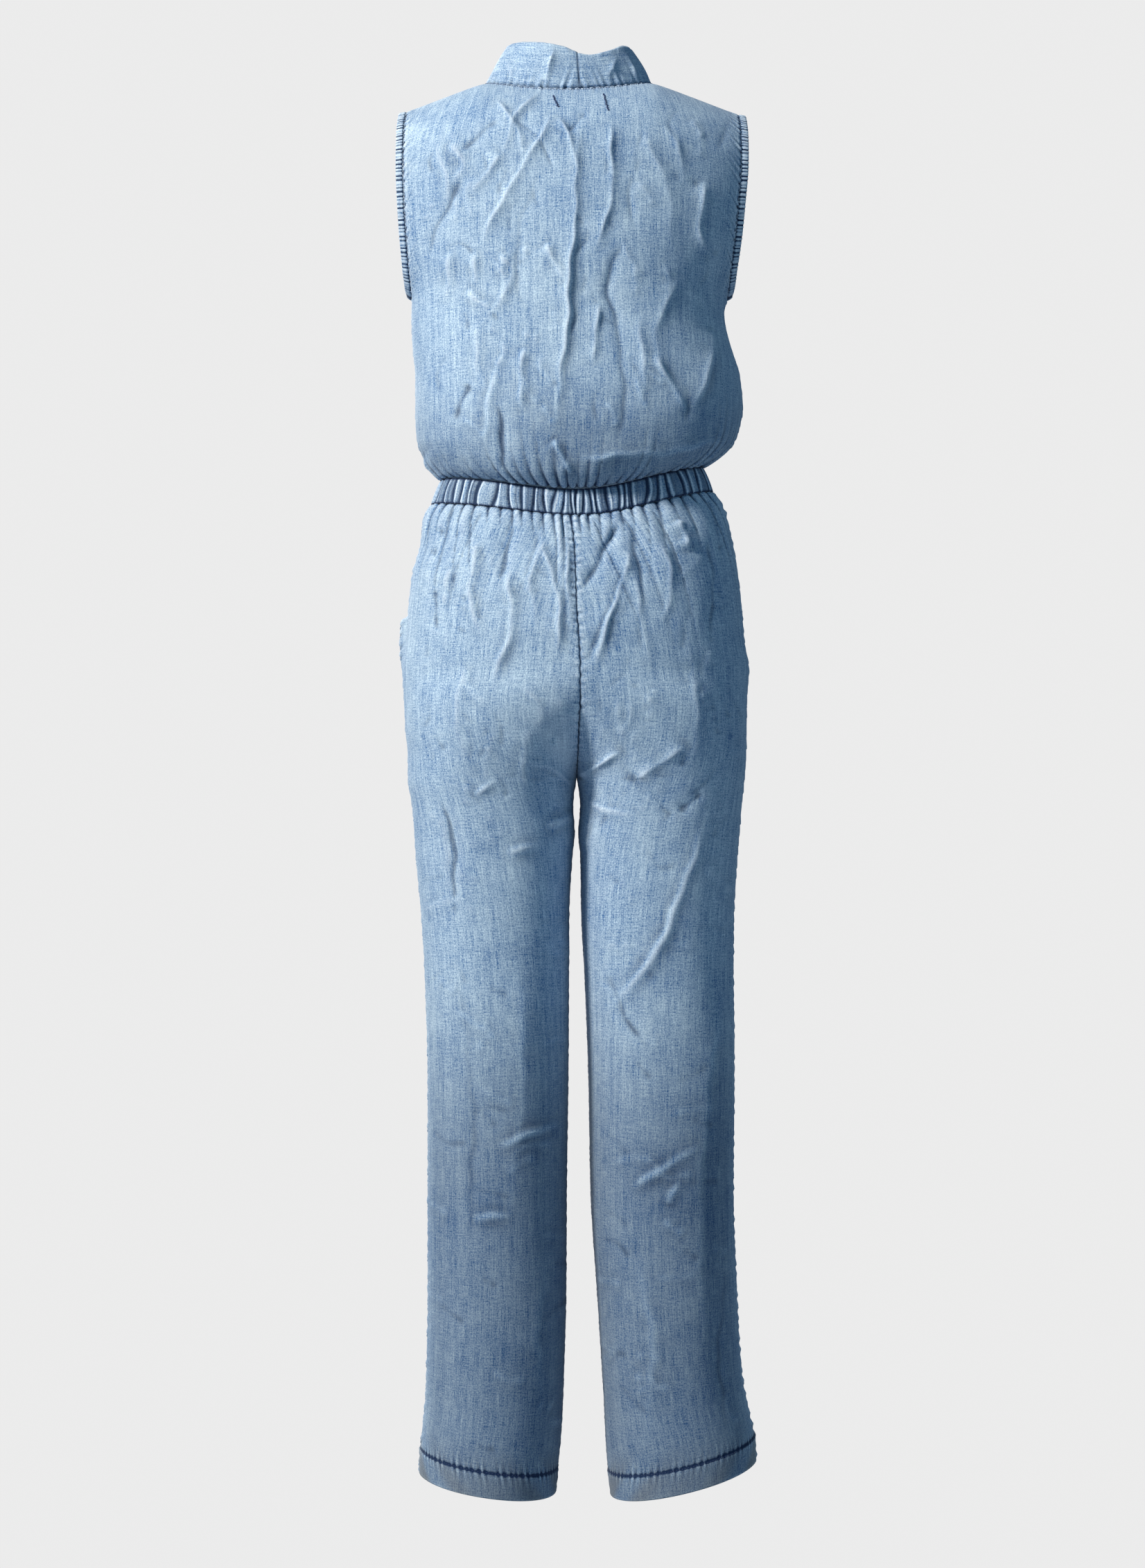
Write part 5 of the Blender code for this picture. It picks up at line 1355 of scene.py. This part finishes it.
sewing = {
    "tucks": {"left": ((23.5, -29), (21, -37), (18, -44)), "right": ((-27, -27), (-29, -38), (-31.5, -48))},
    "tuckStitch": (2.2, 2.1, 0.85, 0.45), "neckStitch": (3.0, 2.2, 0.36, 0.15), "neckRow": 4,
}


def nearestOnCloth(path, rows=120):
    # a drawn line (x, z) laid on the nearest points of the upper back
    spots, normals = backPoints[:rows].reshape(-1, 3), backNormals[:rows].reshape(-1, 3)
    line = smoothPath(path, 12)
    near = [int(np.argmin((spots[:, 0] - x) ** 2 + (spots[:, 2] - z) ** 2)) for x, z in line]
    return spots[near], normals[near]


for label, path in sewing["tucks"].items():
    sewRow(f"neck_tuck_stitches_{label}", *nearestOnCloth(path), *sewing["tuckStitch"])
row = sewing["neckRow"]
atNeck = np.abs(backPoints[0, :, 0] - neck["centre"]) < neck["halfWidth"]
sewRow("neck_seam_stitches", backPoints[row, atNeck], backNormals[row, atNeck], *sewing["neckStitch"])
print("sewing: done")


# buttons

buttonSpec = {
    "radius": 5.75, "thick": 2.2, "count": 4, "top": -165.0, "step": 64.0, "lift": 0.9,
    "rings": 26, "round": 56,  # of its grid
    "hole": 0.75, "holeAt": 1.35, "holeDeep": 1.3, "holeSoft": 0.45,
    "edge": (1.012, 1.02, 1.02, 1.01, 0.99), "edgeFrom": 0.85, "edgeTo": 0.1,  # its radii and its heights
    "stitch": (1.3, 2.7, 0.3, 0.05),
}


def makeButton(number):
    # a turned disc: raised rim, dished middle, four sunk sewing holes; depth is a function of radius and turn
    spec = buttonSpec
    shape, normal = bands[-1]
    middle = shape.shape[1] // 2
    ahead = shape[:, middle, 1] < -60  # the upper band's middle line, where it runs down the chest
    line, face = shape[ahead, middle], normal[ahead, middle]
    order = np.argsort(line[:, 2])
    height = spec["top"] - number * spec["step"]
    place, out = (np.array([np.interp(height, line[order, 2], grid[order, k]) for k in range(3)])
                  for grid in (line, face))
    out = unitOf(out)
    right = unitOf(np.cross(out, np.array([0, 0, 1.0])))
    up = np.cross(right, out)
    edge = len(spec["edge"])
    share = np.linspace(0, 1, spec["rings"])
    top = spec["thick"] * (0.78 + 0.22 * ease((share - 0.55) / 0.2) - 0.25 * ease((share - 0.86) / 0.14))
    radius = spec["radius"] * np.concatenate([share, spec["edge"], np.linspace(1, 0, edge)[1:]])
    fall = top[-1] * np.linspace(spec["edgeFrom"], spec["edgeTo"], edge)
    deep = np.concatenate([top, fall, np.zeros(edge - 1)])  # the underside is flat
    turns = turnsOf(spec["round"])
    x, y = radius[:, None] * np.cos(turns), radius[:, None] * np.sin(turns)
    z = np.broadcast_to(deep[:, None], x.shape).copy()
    for sx in (-1, 1):
        for sy in (-1, 1):
            away = np.hypot(x - sx * spec["holeAt"], y - sy * spec["holeAt"])[: spec["rings"]]
            wall = ease((away - spec["hole"] * 0.7) / spec["holeSoft"])
            z[: spec["rings"]] -= spec["holeDeep"] * (1 - wall)
    spots = place + out * spec["lift"] + x[..., None] * right + y[..., None] * up + z[..., None] * out
    faces = gridFaces(gridIndex(len(radius), spec["round"], ring=True))[:, ::-1].tolist()
    piece = newPiece(f"button_{number + 1}_turned", spots.reshape(-1, 3), faces, [buttonResin])
    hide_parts(f"button_{number + 1}")
    for sy, label in ((-1, "low"), (1, "high")):
        ends = spec["holeAt"] * np.array([(-1, sy), (1, sy)])
        thread = place + out * (spec["lift"] + spec["thick"] * 0.8) + ends[:, :1] * right + ends[:, 1:] * up
        sewRow(f"button_{number + 1}_thread_{label}", thread, np.stack([out, out]), *spec["stitch"])


for number in range(buttonSpec["count"]):
    makeButton(number)
print("buttons: done")


# camera, floor and light

studio = {
    "cameraAt": (0.0043, 3.0, -0.716), "frameTall": 1.607, "sensor": 36.0,
    "floorAt": -1.62, "floorFar": 30.0, "pale": 0.835, "floorColour": (0.30, 0.36, 0.42), "floorRough": 0.8,
    "ambient": (0.105, 0.18, 0.25), "target": (0, 0, -0.6),
    "lights": {
        "key": {"at": (2.45, 1.95, 1.4), "size": 0.6, "power": 176, "colour": (1.0, 0.965, 0.89)},
        "fill": {"at": (-0.6, 2.8, 0.7), "size": 1.6, "power": 7, "colour": (0.45, 0.8, 1.0)},
        "rim": {"at": (1.1, -2.8, 0.9), "size": 1.0, "power": 85, "colour": (1.0, 0.98, 0.95)},
    },
}


def aimAt(thing, target):
    # turns a lamp, which shines along its own -Z, towards a point
    back = np.array(thing.location) - np.array(target)
    tip, heading = math.acos(back[2] / np.linalg.norm(back)), math.atan2(back[1], back[0]) + quarter
    thing.rotation_euler = (tip, 0.0, heading)


def seenByCamera(tree, lit, seen):
    # the camera sees one flat tone, while light meets the other shader
    rays = addNode(tree, "ShaderNodeLightPath")
    return addNode(tree, "ShaderNodeMixShader", None,
                   {0: rays.outputs["Is Camera Ray"], 1: lit.outputs[0], 2: seen.outputs[0]})


camera = placeObject("camera", bpy.data.cameras.new("camera"))
camera.location = studio["cameraAt"]
camera.rotation_euler = (quarter, 0.0, math.pi)
camera.data.sensor_width = studio["sensor"]
camera.data.lens = studio["sensor"] * studio["cameraAt"][1] / studio["frameTall"]
bpy.context.scene.camera = camera

for name, light in studio["lights"].items():
    lamp = placeObject(name, bpy.data.lights.new(name, "AREA"))
    lamp.data.energy, lamp.data.size, lamp.data.color = light["power"], light["size"], light["colour"]
    lamp.location = light["at"]
    aimAt(lamp, studio["target"])

world = bpy.data.worlds.new("studio")
bpy.context.scene.world = world
world.use_nodes = True
tree = world.node_tree
tree.nodes.clear()
backdrop = addNode(tree, "ShaderNodeBackground", Color=(*(studio["pale"],) * 3, 1))
soft = addNode(tree, "ShaderNodeBackground", Color=(*studio["ambient"], 1))
mixed = seenByCamera(tree, soft, backdrop)
addNode(tree, "ShaderNodeOutputWorld", None, {"Surface": mixed.outputs[0]})

far = studio["floorFar"]
corners = [(x * far, y * far, studio["floorAt"]) for x, y in ((-1, -1), (1, -1), (1, 1), (-1, 1))]
floorMesh = bpy.data.meshes.new("floor")
floorMesh.from_pydata(corners, [], [(0, 1, 2, 3)])
floor = placeObject("floor", floorMesh)
floorPaint, tree, shader = newMaterial("pale_floor")  # matt painted board, one flat pale tone to the camera
glow = addNode(tree, "ShaderNodeEmission", Color=(*(studio["pale"],) * 3, 1))
shader.inputs["Base Color"].default_value = (*studio["floorColour"], 1)
shader.inputs["Roughness"].default_value = studio["floorRough"]
mixed = seenByCamera(tree, shader, glow)
tree.links.new(mixed.outputs[0], tree.nodes["Material Output"].inputs["Surface"])
floorMesh.materials.append(floorPaint)
bpy.context.scene.view_settings.view_transform = "Standard"
print("studio: done")
